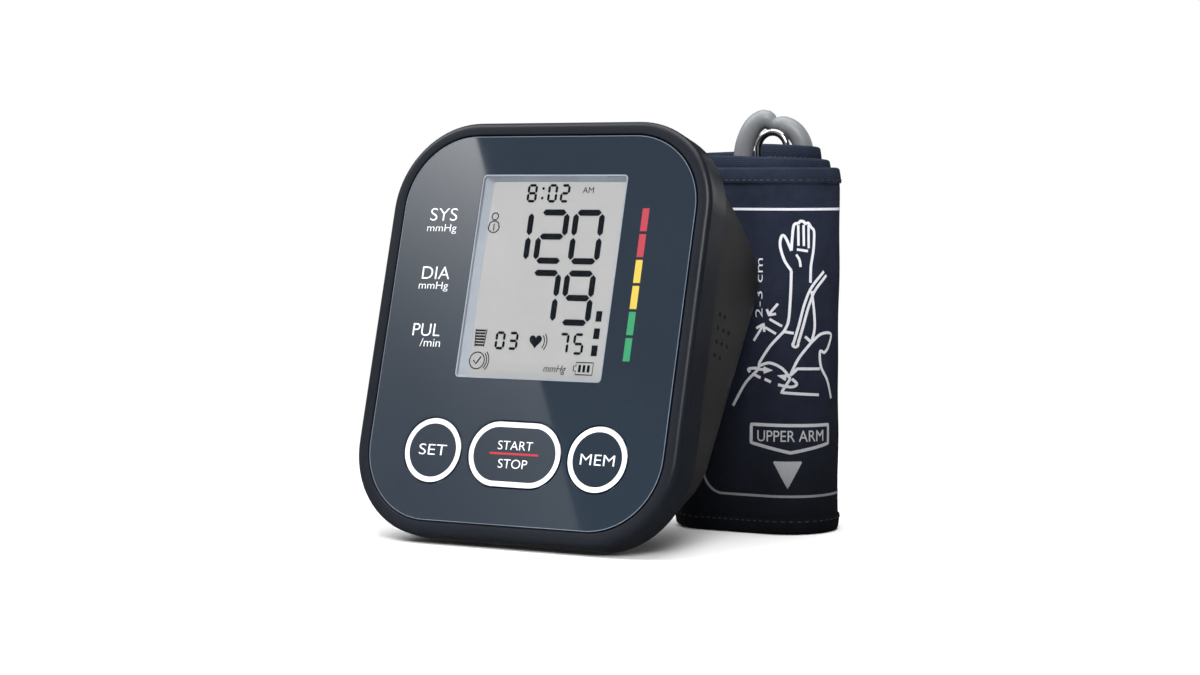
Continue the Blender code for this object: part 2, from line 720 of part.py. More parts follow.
def roll_point(turn, inset):
    """A point of the roll and its outward direction. Turn 0 is at the middle of the back."""
    radius = ROLL_RADIUS - TURN_PITCH * turn - inset
    part = turn % 1.0
    half = STRAIGHT_SHARE / 2
    if part < half or part >= 1.0 - half:
        along = part if part < half else part - 1.0
        return (along / half * ROLL_STRAIGHT, radius), (0.0, 1.0)
    if part < half + ARC_SHARE:
        angle = math.pi / 2 - math.pi * (part - half) / ARC_SHARE
        out = (math.cos(angle), math.sin(angle))
        return (ROLL_STRAIGHT + radius * out[0], radius * out[1]), out
    if part < half + ARC_SHARE + STRAIGHT_SHARE:
        along = (part - half - ARC_SHARE) / STRAIGHT_SHARE
        return (ROLL_STRAIGHT - 2 * ROLL_STRAIGHT * along, -radius), (0.0, -1.0)
    angle = -math.pi / 2 - math.pi * (part - half - ARC_SHARE - STRAIGHT_SHARE) / ARC_SHARE
    out = (math.cos(angle), math.sin(angle))
    return (-ROLL_STRAIGHT + radius * out[0], radius * out[1]), out


def roll_turns(start, end):
    """The turn values at which a rolled sheet bends, from the outside in."""
    marks = []
    half = STRAIGHT_SHARE / 2
    for whole in range(-1, int(end) + 2):
        for first in (half, half + ARC_SHARE + STRAIGHT_SHARE):
            for step in range(ARC_STEPS + 1):
                marks.append(whole + first + ARC_SHARE * step / ARC_STEPS)
    inside = [mark for mark in marks if start + 0.01 < mark < end - 0.01]
    return [start] + sorted(inside) + [end]


def rolled_sheet(name, start, end, inset, thick, low, high, look):
    """A sheet wound into the roll; each turn stands a little higher than the one outside it."""
    bm = bmesh.new()
    rows = []
    for turn in roll_turns(start, end):
        (x, y), out = roll_point(turn, inset + thick / 2)
        rise = TURN_RISE * max(turn - FLAT_TURNS, 0.0)
        row = []
        for side, height in ((1, low), (1, high), (-1, high), (-1, low)):
            offset = side * thick / 2
            point = Vector((x + out[0] * offset, y + out[1] * offset, height + rise)) * MM
            row.append(bm.verts.new(point))
        rows.append(row)
    for first, second in zip(rows, rows[1:]):
        for i in range(4):
            j = (i + 1) % 4
            bm.faces.new((first[i], first[j], second[j], second[i]))
    bm.faces.new(rows[0])
    bm.faces.new(list(reversed(rows[-1])))
    return mesh_object(name, bm, look, ROLL)


def make_cuff():
    """Outer cloth, bladder and inner cloth wound together, with a strip of loop pile at the outer end."""
    bladder_inset = CLOTH_THICK + GAP
    inner_inset = bladder_inset + BLADDER_THICK + GAP
    rolled_sheet("cuff_outer_cloth", 0.0, TURNS, 0.0, CLOTH_THICK, 0.0, CLOTH_HEIGHT, NYLON)
    rolled_sheet(
        "air_bladder", 0.45, TURNS - 0.12, bladder_inset, BLADDER_THICK, BLADDER_MARGIN,
        CLOTH_HEIGHT - BLADDER_MARGIN, BLADDER
    )
    rolled_sheet("cuff_inner_cloth", 0.02, TURNS, inner_inset, CLOTH_THICK, 0.0, CLOTH_HEIGHT, NYLON)
    rolled_sheet("loop_patch", -0.08, 0.06, -GAP - 0.9, 0.9, 10.0, CLOTH_HEIGHT - 10.0, NYLON)


def make_ring():
    """The metal loop that the cuff's end passes through, standing in the roll's core."""
    radius = RING_WIDTH / 2
    points = []
    reach = RING_WIRE / 2 + radius
    for centre_z, start in ((RING_HIGH - reach, 0.0), (RING_LOW + reach, math.pi)):
        for i in range(13):
            angle = start + math.pi * i / 12
            points.append((RING_X + radius * math.cos(angle), RING_Y, centre_z + radius * math.sin(angle)))
    wire("metal_ring", points, RING_WIRE / 2, CHROME, ROLL, 2, closed=True)


def make_air_tube():
    """The tube's arch, the closed shape of its folded runs, the nipple it starts from and its plug."""
    radius = TUBE_DIAMETER / 2
    right_x, right_y = RIGHT_LEG
    left_x, left_y = LEFT_LEG
    turned(
        "tube_nipple",
        [(0.0, 12.0), (2.2, 12.0), (2.2, 6.0), (3.6, 5.5), (3.6, 1.0), (3.0, 0.0), (0.0, 0.0)],
        (right_x, right_y, NIPPLE_TOP - 12.0), "Z", GREY_PLASTIC, ROLL, 16
    )
    middle_x = (right_x + left_x) / 2
    route = [
        (right_x, right_y, NIPPLE_TOP + GAP),
        (right_x, right_y, NIPPLE_TOP + 10.0),
        (right_x, right_y, 131.0),
        (right_x - 1.2, right_y - 0.3, 138.0),
        (right_x - 5.0, right_y - 1.3, ARCH_APEX - radius - 0.5),
        (middle_x, (right_y + left_y) / 2, ARCH_APEX),
        (left_x + 4.6, left_y + 1.3, ARCH_APEX - radius - 0.2),
        (left_x + 0.9, left_y + 0.3, 137.0),
        (left_x, left_y, 130.0),
        (left_x, left_y, 121.0),
        (left_x, left_y, HANK_HIGH + GAP),
    ]
    wire("air_tube", smooth_route(route, 3), radius, TUBE, ROLL, 2)
    half_w, half_t = (size / 2 for size in HANK_SIZE)
    outline = [(HANK_X + x, HANK_Y + y) for x, y in rounded_outline(half_w, half_t, 3.5, 0, 4)]
    hank_loops = [
        [(x, y, HANK_LOW) for x, y in outline],
        [(x, y, HANK_HIGH) for x, y in outline],
    ]
    loft("tube_hank", hank_loops, TUBE, ROLL)
    turned(
        "air_plug",
        [(0.0, 19.0), (2.0, 19.0), (2.2, 18.0), (2.2, 11.0), (3.9, 10.5), (3.9, 1.0), (3.4, 0.0), (0.0, 0.0)],
        (*PLUG_PLACE, HANK_HIGH + GAP), "Z", BLACK, ROLL, 16
    )


def main():
    """Build every piece."""
    table = make_front()
    make_keys()
    make_board()
    housing = make_housing(table)
    make_side_openings(housing)
    make_air_system()
    make_battery_bay(housing)
    make_feet()
    make_cuff()
    make_ring()
    make_air_tube()


main()
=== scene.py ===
"""Looks of an upper arm blood pressure monitor and its rolled cuff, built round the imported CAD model.

Shapes are worked out in millimetres in three spaces and then put into the shared frame:
FACE is the monitor's face (x right, y into the monitor, z up the face), BACK is its sloping rear
face, and CUFF stands on the table in the middle of the rolled cuff.
"""

import json
import math

import bmesh
import bpy
from mathutils import Matrix, Vector

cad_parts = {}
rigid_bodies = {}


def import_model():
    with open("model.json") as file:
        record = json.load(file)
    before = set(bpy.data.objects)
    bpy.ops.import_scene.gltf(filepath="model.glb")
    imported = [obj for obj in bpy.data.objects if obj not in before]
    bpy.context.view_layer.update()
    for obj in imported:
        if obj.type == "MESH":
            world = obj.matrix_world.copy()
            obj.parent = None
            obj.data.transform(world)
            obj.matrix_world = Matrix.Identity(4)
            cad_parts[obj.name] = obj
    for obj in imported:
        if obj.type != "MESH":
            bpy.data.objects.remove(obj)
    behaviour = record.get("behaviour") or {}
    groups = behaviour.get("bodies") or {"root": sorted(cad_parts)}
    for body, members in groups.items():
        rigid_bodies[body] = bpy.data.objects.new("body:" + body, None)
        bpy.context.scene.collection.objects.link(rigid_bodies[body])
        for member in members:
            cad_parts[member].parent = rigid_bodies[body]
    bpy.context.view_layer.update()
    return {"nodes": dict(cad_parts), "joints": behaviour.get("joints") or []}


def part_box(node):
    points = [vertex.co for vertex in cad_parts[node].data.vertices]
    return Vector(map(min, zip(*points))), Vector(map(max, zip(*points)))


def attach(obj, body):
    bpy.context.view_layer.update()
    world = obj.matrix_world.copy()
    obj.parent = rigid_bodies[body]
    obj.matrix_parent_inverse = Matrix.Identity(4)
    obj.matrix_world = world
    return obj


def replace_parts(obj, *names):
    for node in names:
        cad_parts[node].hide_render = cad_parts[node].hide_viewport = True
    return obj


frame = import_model()
MM = 0.001

# ---- sizes that follow the CAD model, in millimetres ----
FACE_WIDTH = 127.6
FACE_HEIGHT = 149.4
FACE_CORNER = 31.8
BEZEL_DEPTH = 13.2
BEZEL_WALL = 2.2
PANEL_INSET = 4.8
PANEL_FRONT = 0.1
PANEL_BACK = 2.1
LEDGE_INSET = 7.2
LEDGE_FRONT = 2.6
LEDGE_BACK = 4.4
SEAM = 13.5
HOUSING_INSET = 1.6
HOUSING_WALL = 2.2
REAR_SLOPE = math.radians(18.5)
REAR_DEPTH = 43.4
POST_X = 54.0
POST_ROWS = (40.0, -44.0)
POSTS = [(side * POST_X, row) for side in (1, -1) for row in POST_ROWS]
WINDOW = (1.7, 18.5, 58.3, 73.5)
LCD_DEPTH = 2.7
INK_LIFT = 0.05
KEY_ROW = -44.6
KEY_RADIUS = 11.6
KEY_PLACES = {"key_set": (-32.0, 0.0), "key_start": (1.0, 6.8), "key_mem": (33.5, 0.0)}
COVER = (-32.5, 32.5, -41.0, 17.0)
RING_PLACE = (9.9, -6.4)
RING_LOW = 6.0
RING_HIGH = 144.5
RING_WIDTH = 11.2
RING_WIRE = 2.6
ROLL_RADIUS = 20.0
ROLL_STRAIGHT = 12.3
TURN_PITCH = 3.5
TURN_RISE = 4.6
FLAT_TURNS = 0.6
TURNS = 2.445
ARC_SHARE = 0.33
STRAIGHT_SHARE = 0.5 - ARC_SHARE
# the visible cloth is 1.8 lower than the CAD sheets
CLOTH_HEIGHT = 130.6
CLOTH_THICK = 0.7
TUBE_DIAMETER = 7.0


# ---------------------------------------------------------------- spaces

def joint_axis(name):
    """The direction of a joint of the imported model."""
    return next(Vector(joint["axis"]) for joint in frame["joints"] if joint["name"] == name)


def middle_of(node):
    """The middle of a CAD node's box, in metres."""
    low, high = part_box(node)
    return (low + high) / 2


INTO = joint_axis("key_set_press").normalized()
ALONG = Vector((1.0, 0.0, 0.0))
UP = ALONG.cross(INTO)
FACE_MIDDLE = middle_of("front_panel") - INTO * (PANEL_FRONT + PANEL_BACK) / 2 * MM
FACE = Matrix.Translation(FACE_MIDDLE) @ Matrix((ALONG, INTO, UP)).transposed().to_4x4()
BACK = FACE @ Matrix.Translation((0.0, REAR_DEPTH * MM, 0.0)) @ Matrix.Rotation(-REAR_SLOPE, 4, "X")
RING_MIDDLE = middle_of("metal_ring")
CUFF = Matrix.Translation((RING_MIDDLE.x - RING_PLACE[0] * MM, RING_MIDDLE.y - RING_PLACE[1] * MM, 0.0))


# ---------------------------------------------------------------- materials

# Painted shade: the cuff's cloth and ink darken towards the table; each pair is (share left at the foot,
# height in metres where it ends).
CLOTH_FOOT_SHADE = (0.06, 0.125)
INK_FOOT_SHADE = (0.05, 0.105)


def link(nodes, source, output, target, slot):
    """Join two shader nodes."""
    nodes.id_data.links.new(source.outputs[output], target.inputs[slot])


def new_node(nodes, kind, values=None, **settings):
    """A shader node; values gives its sockets by name or number, settings its own properties."""
    made = nodes.new("ShaderNode" + kind)
    for name, value in settings.items():
        setattr(made, name, value)
    for socket, value in (values or {}).items():
        made.inputs[socket].default_value = value
    return made


def map_range(nodes, source, output, from_range, to_range, **settings):
    """Carry a value from one range onto another."""
    ends = ("From Min", "From Max", "To Min", "To Max")
    made = new_node(nodes, "MapRange", dict(zip(ends, from_range + to_range)), **settings)
    link(nodes, source, output, made, "Value")
    return made


def principled(name, colour, roughness, **more):
    """A material with its Principled shader; more gives other sockets by name with _ for spaces."""
    made = bpy.data.materials.new(name)
    made.use_nodes = True
    nodes = made.node_tree.nodes
    shader = nodes["Principled BSDF"]
    shader.inputs["Base Color"].default_value = (*colour, 1.0)
    shader.inputs["Roughness"].default_value = roughness
    for key, value in more.items():
        shader.inputs[key.replace("_", " ")].default_value = value
    return made, nodes, shader


def coordinates(nodes, kind, scale):
    """Texture coordinates in metres (Object) or millimetres (UV), stretched by scale."""
    source = new_node(nodes, "TexCoord")
    stretch = scale if hasattr(scale, "__len__") else (scale,) * 3
    mapping = new_node(nodes, "Mapping", {"Scale": stretch})
    link(nodes, source, kind, mapping, "Vector")
    return mapping


def noise(nodes, place, scale, detail=3.0, rough=0.5):
    """A noise texture on the given coordinates."""
    made = new_node(nodes, "TexNoise", {"Scale": scale, "Detail": detail, "Roughness": rough})
    link(nodes, place, "Vector", made, "Vector")
    return made


def spread(nodes, source, low, high, output="Fac"):
    """Carry a texture's 0.3 to 0.7 onto low to high."""
    return map_range(nodes, source, output, (0.3, 0.7), (low, high))


def colour_between(nodes, factor, first, second, output="Result"):
    """Mix two colours by a factor."""
    made = new_node(nodes, "Mix", data_type="RGBA")
    made.inputs[6].default_value = (*first, 1.0)
    made.inputs[7].default_value = (*second, 1.0)
    link(nodes, factor, output, made, 0)
    return made


def multiplied(nodes, source, factor, output):
    """A colour times another texture's value or colour."""
    made = new_node(nodes, "Mix", {0: 1.0}, data_type="RGBA", blend_type="MULTIPLY")
    link(nodes, source, 2, made, 6)
    link(nodes, factor, output, made, 7)
    return made


def bump(nodes, shader, height, strength, distance, output="Fac", below=None):
    """Raise the surface by a texture; distance is in metres."""
    made = new_node(nodes, "Bump", {"Strength": strength, "Distance": distance})
    link(nodes, height, output, made, "Height")
    if below is not None:
        link(nodes, below, "Normal", made, "Normal")
    link(nodes, made, "Normal", shader, "Normal")
    return made


def shade(colour, amount):
    """A colour made lighter or darker."""
    return tuple(channel * amount for channel in colour)


def moulded(name, colour, roughness, grain=9000.0, depth=0.00003, **more):
    """Moulded plastic or rubber: fine grain, slow drift of colour and a little uneven gloss."""
    made, nodes, shader = principled(name, colour, roughness, **more)
    place = coordinates(nodes, "Object", 1.0)
    fine = noise(nodes, place, grain, 2.0)
    slow = noise(nodes, place, 40.0, 4.0)
    drift = colour_between(nodes, spread(nodes, slow, 0.0, 1.0), shade(colour, 0.88), shade(colour, 1.12))
    link(nodes, drift, 2, shader, "Base Color")
    link(nodes, spread(nodes, slow, roughness * 0.88, roughness * 1.12), "Result", shader, "Roughness")
    bump(nodes, shader, fine, 0.5, depth)
    return made


def worked_metal(name, colour, roughness, stretch):
    """Metal with fine drawn or turned marks that run one way."""
    made, nodes, shader = principled(name, colour, roughness, Metallic=1.0)
    marks = noise(nodes, coordinates(nodes, "Object", stretch), 900.0, 4.0, 0.6)
    link(nodes, spread(nodes, marks, roughness * 0.7, roughness * 1.5), "Result", shader, "Roughness")
    bump(nodes, shader, marks, 0.25, 0.00001)
    return made


def printed(name, colour, worn, shine=0.3):
    """Screen-printed ink with a slightly uneven coat."""
    made, nodes, shader = principled(name, colour, 0.45, Specular_IOR_Level=shine)
    coat = noise(nodes, coordinates(nodes, "Object", 1.0), 2500.0, 2.0)
    ink = colour_between(nodes, spread(nodes, coat, 0.0, 1.0), colour, shade(colour, worn))
    link(nodes, ink, 2, shader, "Base Color")
    bump(nodes, shader, coat, 0.15, 0.00001)
    return made


def glossy_panel():
    """The dark blue hard-coated front, with faint wipe marks in its gloss."""
    colour = (0.0080, 0.0165, 0.0290)
    made, nodes, shader = principled(
        "panel_gloss", colour, 0.03, Specular_IOR_Level=0.5, Coat_Weight=0.25, Coat_Roughness=0.02
    )
    wipes = noise(nodes, coordinates(nodes, "Object", (1.0, 0.3, 0.25)), 60.0, 5.0)
    link(nodes, spread(nodes, wipes, 0.02, 0.04), "Result", shader, "Roughness")
    slow = noise(nodes, coordinates(nodes, "Object", 1.0), 22.0, 2.0)
    drift = colour_between(nodes, spread(nodes, slow, 0.0, 1.0), shade(colour, 0.93), shade(colour, 1.07))
    link(nodes, drift, 2, shader, "Base Color")
    return made


def lcd_glass():
    """The grey face of the liquid crystal display: a very fine dot grid under a polished sheet."""
    colour = (0.395, 0.395, 0.39)
    made, nodes, shader = principled("lcd_glass", colour, 0.35, Specular_IOR_Level=0.3)
    slow = noise(nodes, coordinates(nodes, "Object", 1.0), 18.0, 2.0)
    drift = colour_between(nodes, spread(nodes, slow, 0.0, 1.0), shade(colour, 0.97), shade(colour, 1.03))
    link(nodes, drift, 2, shader, "Base Color")
    grain = noise(nodes, coordinates(nodes, "Object", 1.0), 6000.0, 1.0)
    bump(nodes, shader, grain, 0.1, 0.00001)
    return made


def clear_window():
    """Clear acrylic, seen mostly by its gloss."""
    made, nodes, shader = principled("clear_acrylic", (0.02, 0.03, 0.04), 0.03, Alpha=0.06)
    marks = noise(nodes, coordinates(nodes, "Object", 1.0), 80.0, 4.0)
    link(nodes, spread(nodes, marks, 0.02, 0.05), "Result", shader, "Roughness")
    return made


def woven(name, colour, thread, height):
    """Plain weave: two sets of threads that pass over each other, in the piece's UV millimetres.

    thread is the thread pitch in millimetres and height the bump height in metres.
    """
    made, nodes, shader = principled(name, colour, 0.8, Specular_IOR_Level=0.1)
    place = coordinates(nodes, "UV", 1.0 / thread)
    over = new_node(nodes, "TexChecker", {"Scale": 1.0})
    link(nodes, place, "Vector", over, "Vector")
    weave = new_node(nodes, "Mix")
    link(nodes, over, "Fac", weave, 0)
    for direction, slot in (("X", 2), ("Y", 3)):
        wave = new_node(
            nodes, "TexWave", {"Scale": math.pi / 10, "Distortion": 0.6, "Detail Scale": 0.4},
            bands_direction=direction
        )
        link(nodes, place, "Vector", wave, "Vector")
        link(nodes, wave, "Fac", weave, slot)
    tone = colour_between(nodes, weave, shade(colour, 0.72), shade(colour, 1.25), 0)
    cloud = noise(nodes, coordinates(nodes, "Object", 1.0), 130.0, 5.0, 0.65)
    cloudy = colour_between(nodes, spread(nodes, cloud, 0.0, 1.0), (0.8, 0.8, 0.8), (1.2, 1.2, 1.2))
    uneven = multiplied(nodes, tone, cloudy, 2)
    # painted shade: the cloth colour darkens towards the table
    link(nodes, painted_foot_shade(nodes, uneven, *CLOTH_FOOT_SHADE), 2, shader, "Base Color")
    creases = bump(nodes, shader, cloud, 0.25, 0.0006)
    bump(nodes, shader, weave, 0.6, height, 0, creases)
    return made


def painted_foot_shade(nodes, source, low_share, reach):
    """Darken a colour towards the foot of the object: painted shade, not a colour of the material itself.

    low_share is what is left of it at the table, and reach the height in metres where it is full.
    """
    place = new_node(nodes, "TexCoord")
    split = new_node(nodes, "SeparateXYZ")
    link(nodes, place, "Object", split, "Vector")
    climb = map_range(nodes, split, "Z", (0.0, reach), (low_share, 1.0))
    return multiplied(nodes, source, climb, "Result")



def cuff_ink():
    """White ink on nylon, broken a little by the weave, with painted shade that greys it towards the foot."""
    colour = (0.80, 0.81, 0.86)
    made, nodes, shader = principled("cuff_ink", colour, 0.6, Specular_IOR_Level=0.2)
    grit = noise(nodes, coordinates(nodes, "Object", 1.0), 1800.0, 3.0)
    ink = colour_between(nodes, spread(nodes, grit, 0.0, 1.0), shade(colour, 0.85), colour)
    # painted shade: the ink greys towards the table
    link(nodes, painted_foot_shade(nodes, ink, *INK_FOOT_SHADE), 2, shader, "Base Color")
    bump(nodes, shader, grit, 0.3, 0.00004)
    return made


def fuzz():
    """The hook and loop patch: short curled fibres."""
    colour = (0.012, 0.014, 0.030)
    made, nodes, shader = principled("hook_and_loop", colour, 0.95, Sheen_Weight=0.4, Specular_IOR_Level=0.1)
    curls = new_node(nodes, "TexVoronoi", {"Scale": 1400.0})
    link(nodes, coordinates(nodes, "Object", 1.0), "Vector", curls, "Vector")
    tone = colour_between(nodes, curls, shade(colour, 1.6), shade(colour, 0.5), "Distance")
    link(nodes, tone, 2, shader, "Base Color")
    bump(nodes, shader, curls, 0.8, 0.0004, "Distance")
    return made


def circuit_board():
    """Green solder mask with darker tracks showing through."""
    colour = (0.012, 0.10, 0.045)
    made, nodes, shader = principled("circuit_board", colour, 0.3, Specular_IOR_Level=0.5)
    tracks = new_node(nodes, "TexBrick", {"Scale": 160.0, "Mortar Size": 0.03})
    for socket, amount in (("Color1", 1.0), ("Color2", 0.8), ("Mortar", 1.6)):
        tracks.inputs[socket].default_value = (*shade(colour, amount), 1.0)
    link(nodes, coordinates(nodes, "Object", 1.0), "Vector", tracks, "Vector")
    link(nodes, tracks, "Color", shader, "Base Color")
    bump(nodes, shader, tracks, 0.3, 0.00005)
    return made


LOOKS = {
    "bezel": moulded("bezel_plastic", (0.0085, 0.0105, 0.0150), 0.32, Specular_IOR_Level=0.2),
    "panel": glossy_panel(),
    # rim: lighter colour of the strip round the panel's edge, a painted highlight where the edge catches
    # light
    "rim": moulded("panel_edge", (0.13, 0.16, 0.20), 0.30),
    "window_wall": moulded("window_wall", (0.26, 0.29, 0.335), 0.35),
    "lens": clear_window(),
    "display": lcd_glass(),
    "lcd_ink": printed("lcd_ink", (0.004, 0.005, 0.007), 1.3, 0.02),
    "white_ink": printed("white_ink", (0.86, 0.87, 0.90), 0.97),
    "red_ink": printed("red_ink", (0.39, 0.042, 0.058), 0.9),
    "dull_red_ink": printed("dull_red_ink", (0.45, 0.035, 0.045), 0.9),
    "yellow_ink": printed("yellow_ink", (0.58, 0.43, 0.065), 0.95),
    "green_ink": printed("green_ink", (0.030, 0.25, 0.110), 0.9),
    "housing": moulded(
        "housing_plastic", (0.0165, 0.0161, 0.0165), 0.48, 5000.0, 0.00006, Specular_IOR_Level=0.3
    ),
    "white_plastic": moulded("white_plastic", (0.72, 0.72, 0.70), 0.4),
    "grey_plastic": moulded("grey_plastic", (0.30, 0.30, 0.31), 0.42),
    "black_plastic": moulded("black_plastic", (0.014, 0.014, 0.015), 0.45),
    "black_rubber": moulded("black_rubber", (0.018, 0.018, 0.018), 0.8, 3000.0, 0.00008),
    "bladder": moulded("bladder_rubber", (0.09, 0.09, 0.10), 0.65, 2500.0, 0.00008),
    "tube": moulded("tube_rubber", (0.185, 0.194, 0.204), 0.40, 1500.0, 0.00005, Specular_IOR_Level=0.4),
    "board": circuit_board(),
    "steel": worked_metal("steel", (0.56, 0.56, 0.57), 0.30, (1.0, 1.0, 12.0)),
    "chrome": worked_metal("chrome", (0.52, 0.52, 0.53), 0.10, (1.0, 1.0, 0.1)),
    "brass": worked_metal("brass", (0.70, 0.52, 0.24), 0.28, (12.0, 1.0, 1.0)),
    "cell": moulded("cell_jacket", (0.05, 0.10, 0.20), 0.30, 700.0),
    "nylon": woven("nylon_cloth", (0.0190, 0.0245, 0.0455), 0.55, 0.00010),
    "binding": woven("nylon_binding", (0.0180, 0.0245, 0.0430), 0.7, 0.00016),
    "thread": moulded("sewing_thread", (0.007, 0.009, 0.016), 0.7, 3000.0),
    "cuff_ink": cuff_ink(),
    "hook_and_loop": fuzz(),
}


# ---------------------------------------------------------------- making pieces

FLAT = 8.0


def mesh_of(name, bm):
    """A mesh made from a bmesh, which is used up."""
    mesh = bpy.data.meshes.new(name)
    bm.to_mesh(mesh)
    bm.free()
    return mesh


def piece(name, bm, look, body, space, smooth_angle=35.0):
    """Put a shape made in millimetres into the shared frame as one piece that rides on a body."""
    bmesh.ops.recalc_face_normals(bm, faces=bm.faces)
    mesh = mesh_of(name, bm)
    mesh.transform(space @ Matrix.Scale(MM, 4))
    mesh.shade_smooth()
    mesh.set_sharp_from_angle(angle=math.radians(smooth_angle))
    mesh.materials.append(LOOKS[look])
    made = bpy.data.objects.new(name, mesh)
    bpy.context.scene.collection.objects.link(made)
    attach(made, body)
    return made


def join_rows(bm, rows, round_=True, along_ring=False):
    """Faces between rows of vertices; round_ closes each row, along_ring joins the last row to the first."""
    pairs = list(zip(rows, rows[1:]))
    if along_ring:
        pairs.append((rows[-1], rows[0]))
    count = len(rows[0])
    for lower, upper in pairs:
        for i in range(count if round_ else count - 1):
            j = (i + 1) % count
            bm.faces.new((lower[i], lower[j], upper[j], upper[i]))


def loft(loops, ring=False):
    """A bmesh through closed loops of points, with ends unless it is a ring."""
    bm = bmesh.new()
    rows = [[bm.verts.new(point) for point in loop] for loop in loops]
    join_rows(bm, rows, along_ring=ring)
    if not ring:
        bm.faces.new(list(reversed(rows[0])))
        bm.faces.new(rows[-1])
    return bm


def quarter(centre, radius, start, steps):
    """Points (inset, depth) of a quarter circle that turns from the angle start, in degrees."""
    points = []
    for i in range(steps + 1):
        angle = math.radians(start + 90.0 * i / steps)
        points.append((centre[0] + radius * math.cos(angle), centre[1] + radius * math.sin(angle)))
    return points


def half_outline(half_width, half_height, radius, rows=0, corner_steps=20):
    """The right half of a rounded rectangle, from bottom to top, with extra points up its side."""
    points = []
    for centre_z, start in ((-half_height + radius, -90.0), (half_height - radius, 0.0)):
        points += quarter((half_width - radius, centre_z), radius, start, corner_steps)
        if start < 0:
            straight = half_height - radius
            points += [
                (half_width, -straight + 2 * straight * i / (rows + 1)) for i in range(1, rows + 1)
            ]
    return points


def rounded_outline(half_width, half_height, radius, corner_steps=20):
    """A closed rounded rectangle about the origin."""
    right = half_outline(half_width, half_height, radius, 0, corner_steps)
    return right + [(-x, z) for x, z in reversed(right)]


def face_outline(inset):
    """The monitor's outline, drawn in by inset."""
    return rounded_outline(FACE_WIDTH / 2 - inset, FACE_HEIGHT / 2 - inset, FACE_CORNER - inset)


def window_outline(grow):
    """The display window's outline, made larger by grow."""
    x, z, width, height = WINDOW
    outline = rounded_outline(width / 2 + grow, height / 2 + grow, 1.5 + max(grow, -0.6), 5)
    return [(x + px, z + pz) for px, pz in outline]


def drawn_window(left, top):
    """The window's outline with its left and upper sides drawn in."""
    x, z, _, _ = WINDOW
    outline = window_outline(-0.6)
    return [(px + (left if px < x else 0.0), pz - (top if pz > z else 0.0)) for px, pz in outline]


def stadium(centre_x, centre_z, half_straight, radius, steps=32):
    """Two half circles joined by straight sides."""
    points = []
    for middle, start in ((centre_x + half_straight, -90.0), (centre_x - half_straight, 90.0)):
        for i in range(steps):
            angle = math.radians(start + 180.0 * i / steps)
            points.append((middle + radius * math.cos(angle), centre_z + radius * math.sin(angle)))
    return points


def at_depth(outline, depth):
    """A face-plane outline at a depth behind the face."""
    return [(x, depth, z) for x, z in outline]


def filled(curve):
    """The bmesh of a flat curve or text, standing in the face plane."""
    holder = bpy.data.objects.new("holder", curve)
    bpy.context.scene.collection.objects.link(holder)
    mesh = bpy.data.meshes.new_from_object(holder.evaluated_get(bpy.context.evaluated_depsgraph_get()))
    bpy.data.objects.remove(holder)
    mesh.transform(Matrix.Rotation(math.pi / 2, 4, "X"))
    bm = bmesh.new()
    bm.from_mesh(mesh)
    bmesh.ops.remove_doubles(bm, verts=bm.verts, dist=0.0005)
    return bm


def plate(outlines, front, back, edge):
    """A flat bmesh with softened edges; the first outline is its edge and the rest are holes."""
    curve = bpy.data.curves.new("plate", "CURVE")
    curve.dimensions = "2D"
    curve.fill_mode = "BOTH"
    curve.extrude = (back - front) / 2 - edge
    curve.bevel_depth = edge
    curve.bevel_resolution = 2
    curve.offset = -edge
    for outline in outlines:
        spline = curve.splines.new("POLY")
        spline.points.add(len(outline) - 1)
        for point, (x, z) in zip(spline.points, outline):
            point.co = (x, z, 0.0, 1.0)
        spline.use_cyclic_u = True
    bm = filled(curve)
    bmesh.ops.translate(bm, vec=(0.0, (front + back) / 2, 0.0), verts=bm.verts)
    return bm


def words(text, box, slant=0.0, weight=-0.008):
    """A bmesh of lettering, 0.06 thick, that fills box = (left, right, low, high) of the face plane."""
    curve = bpy.data.curves.new("words", "FONT")
    curve.body = text
    curve.shear = slant
    curve.offset = weight
    curve.extrude = 0.5
    bm = filled(curve)
    left, right, low, high = box
    xs = [vert.co.x for vert in bm.verts]
    zs = [vert.co.z for vert in bm.verts]
    for vert in bm.verts:
        share_x = (vert.co.x - min(xs)) / (max(xs) - min(xs))
        share_z = (vert.co.z - min(zs)) / (max(zs) - min(zs))
        vert.co = (left + share_x * (right - left), vert.co.y * 0.06, low + share_z * (high - low))
    return bm


def print_words(name, text, box, ink, body, depth=PANEL_FRONT, slant=0.0):
    """Lettering that stands at a depth of the face."""
    bm = words(text, box, slant)
    bmesh.ops.translate(bm, vec=(0.0, depth, 0.0), verts=bm.verts)
    piece(name, bm, ink, body, FACE)


def smooth_line(points, samples):
    """Points along a smooth curve through the given points, ends included."""
    padded = [points[0]] + list(points) + [points[-1]]
    line = []
    for i in range(1, len(padded) - 2):
        a, b, c, d = (Vector(padded[i + k]) for k in (-1, 0, 1, 2))
        for s in range(samples):
            t = s / samples
            curve = (2 * a - 5 * b + 4 * c - d) * t * t + (3 * b - a - 3 * c + d) * t**3
            line.append(0.5 * (2 * b + (c - a) * t + curve))
    line.append(Vector(padded[-2]))
    return line


def evenly(points, step, closed=False):
    """The same line with points no further apart than step."""
    ends = list(points) + ([points[0]] if closed else [])
    line = []
    for first, second in zip(ends, ends[1:]):
        first = Vector(first)
        second = Vector(second)
        count = max(1, math.ceil((second - first).length / step))
        line += [first.lerp(second, i / count) for i in range(count)]
    return line if closed else line + [Vector(ends[-1])]


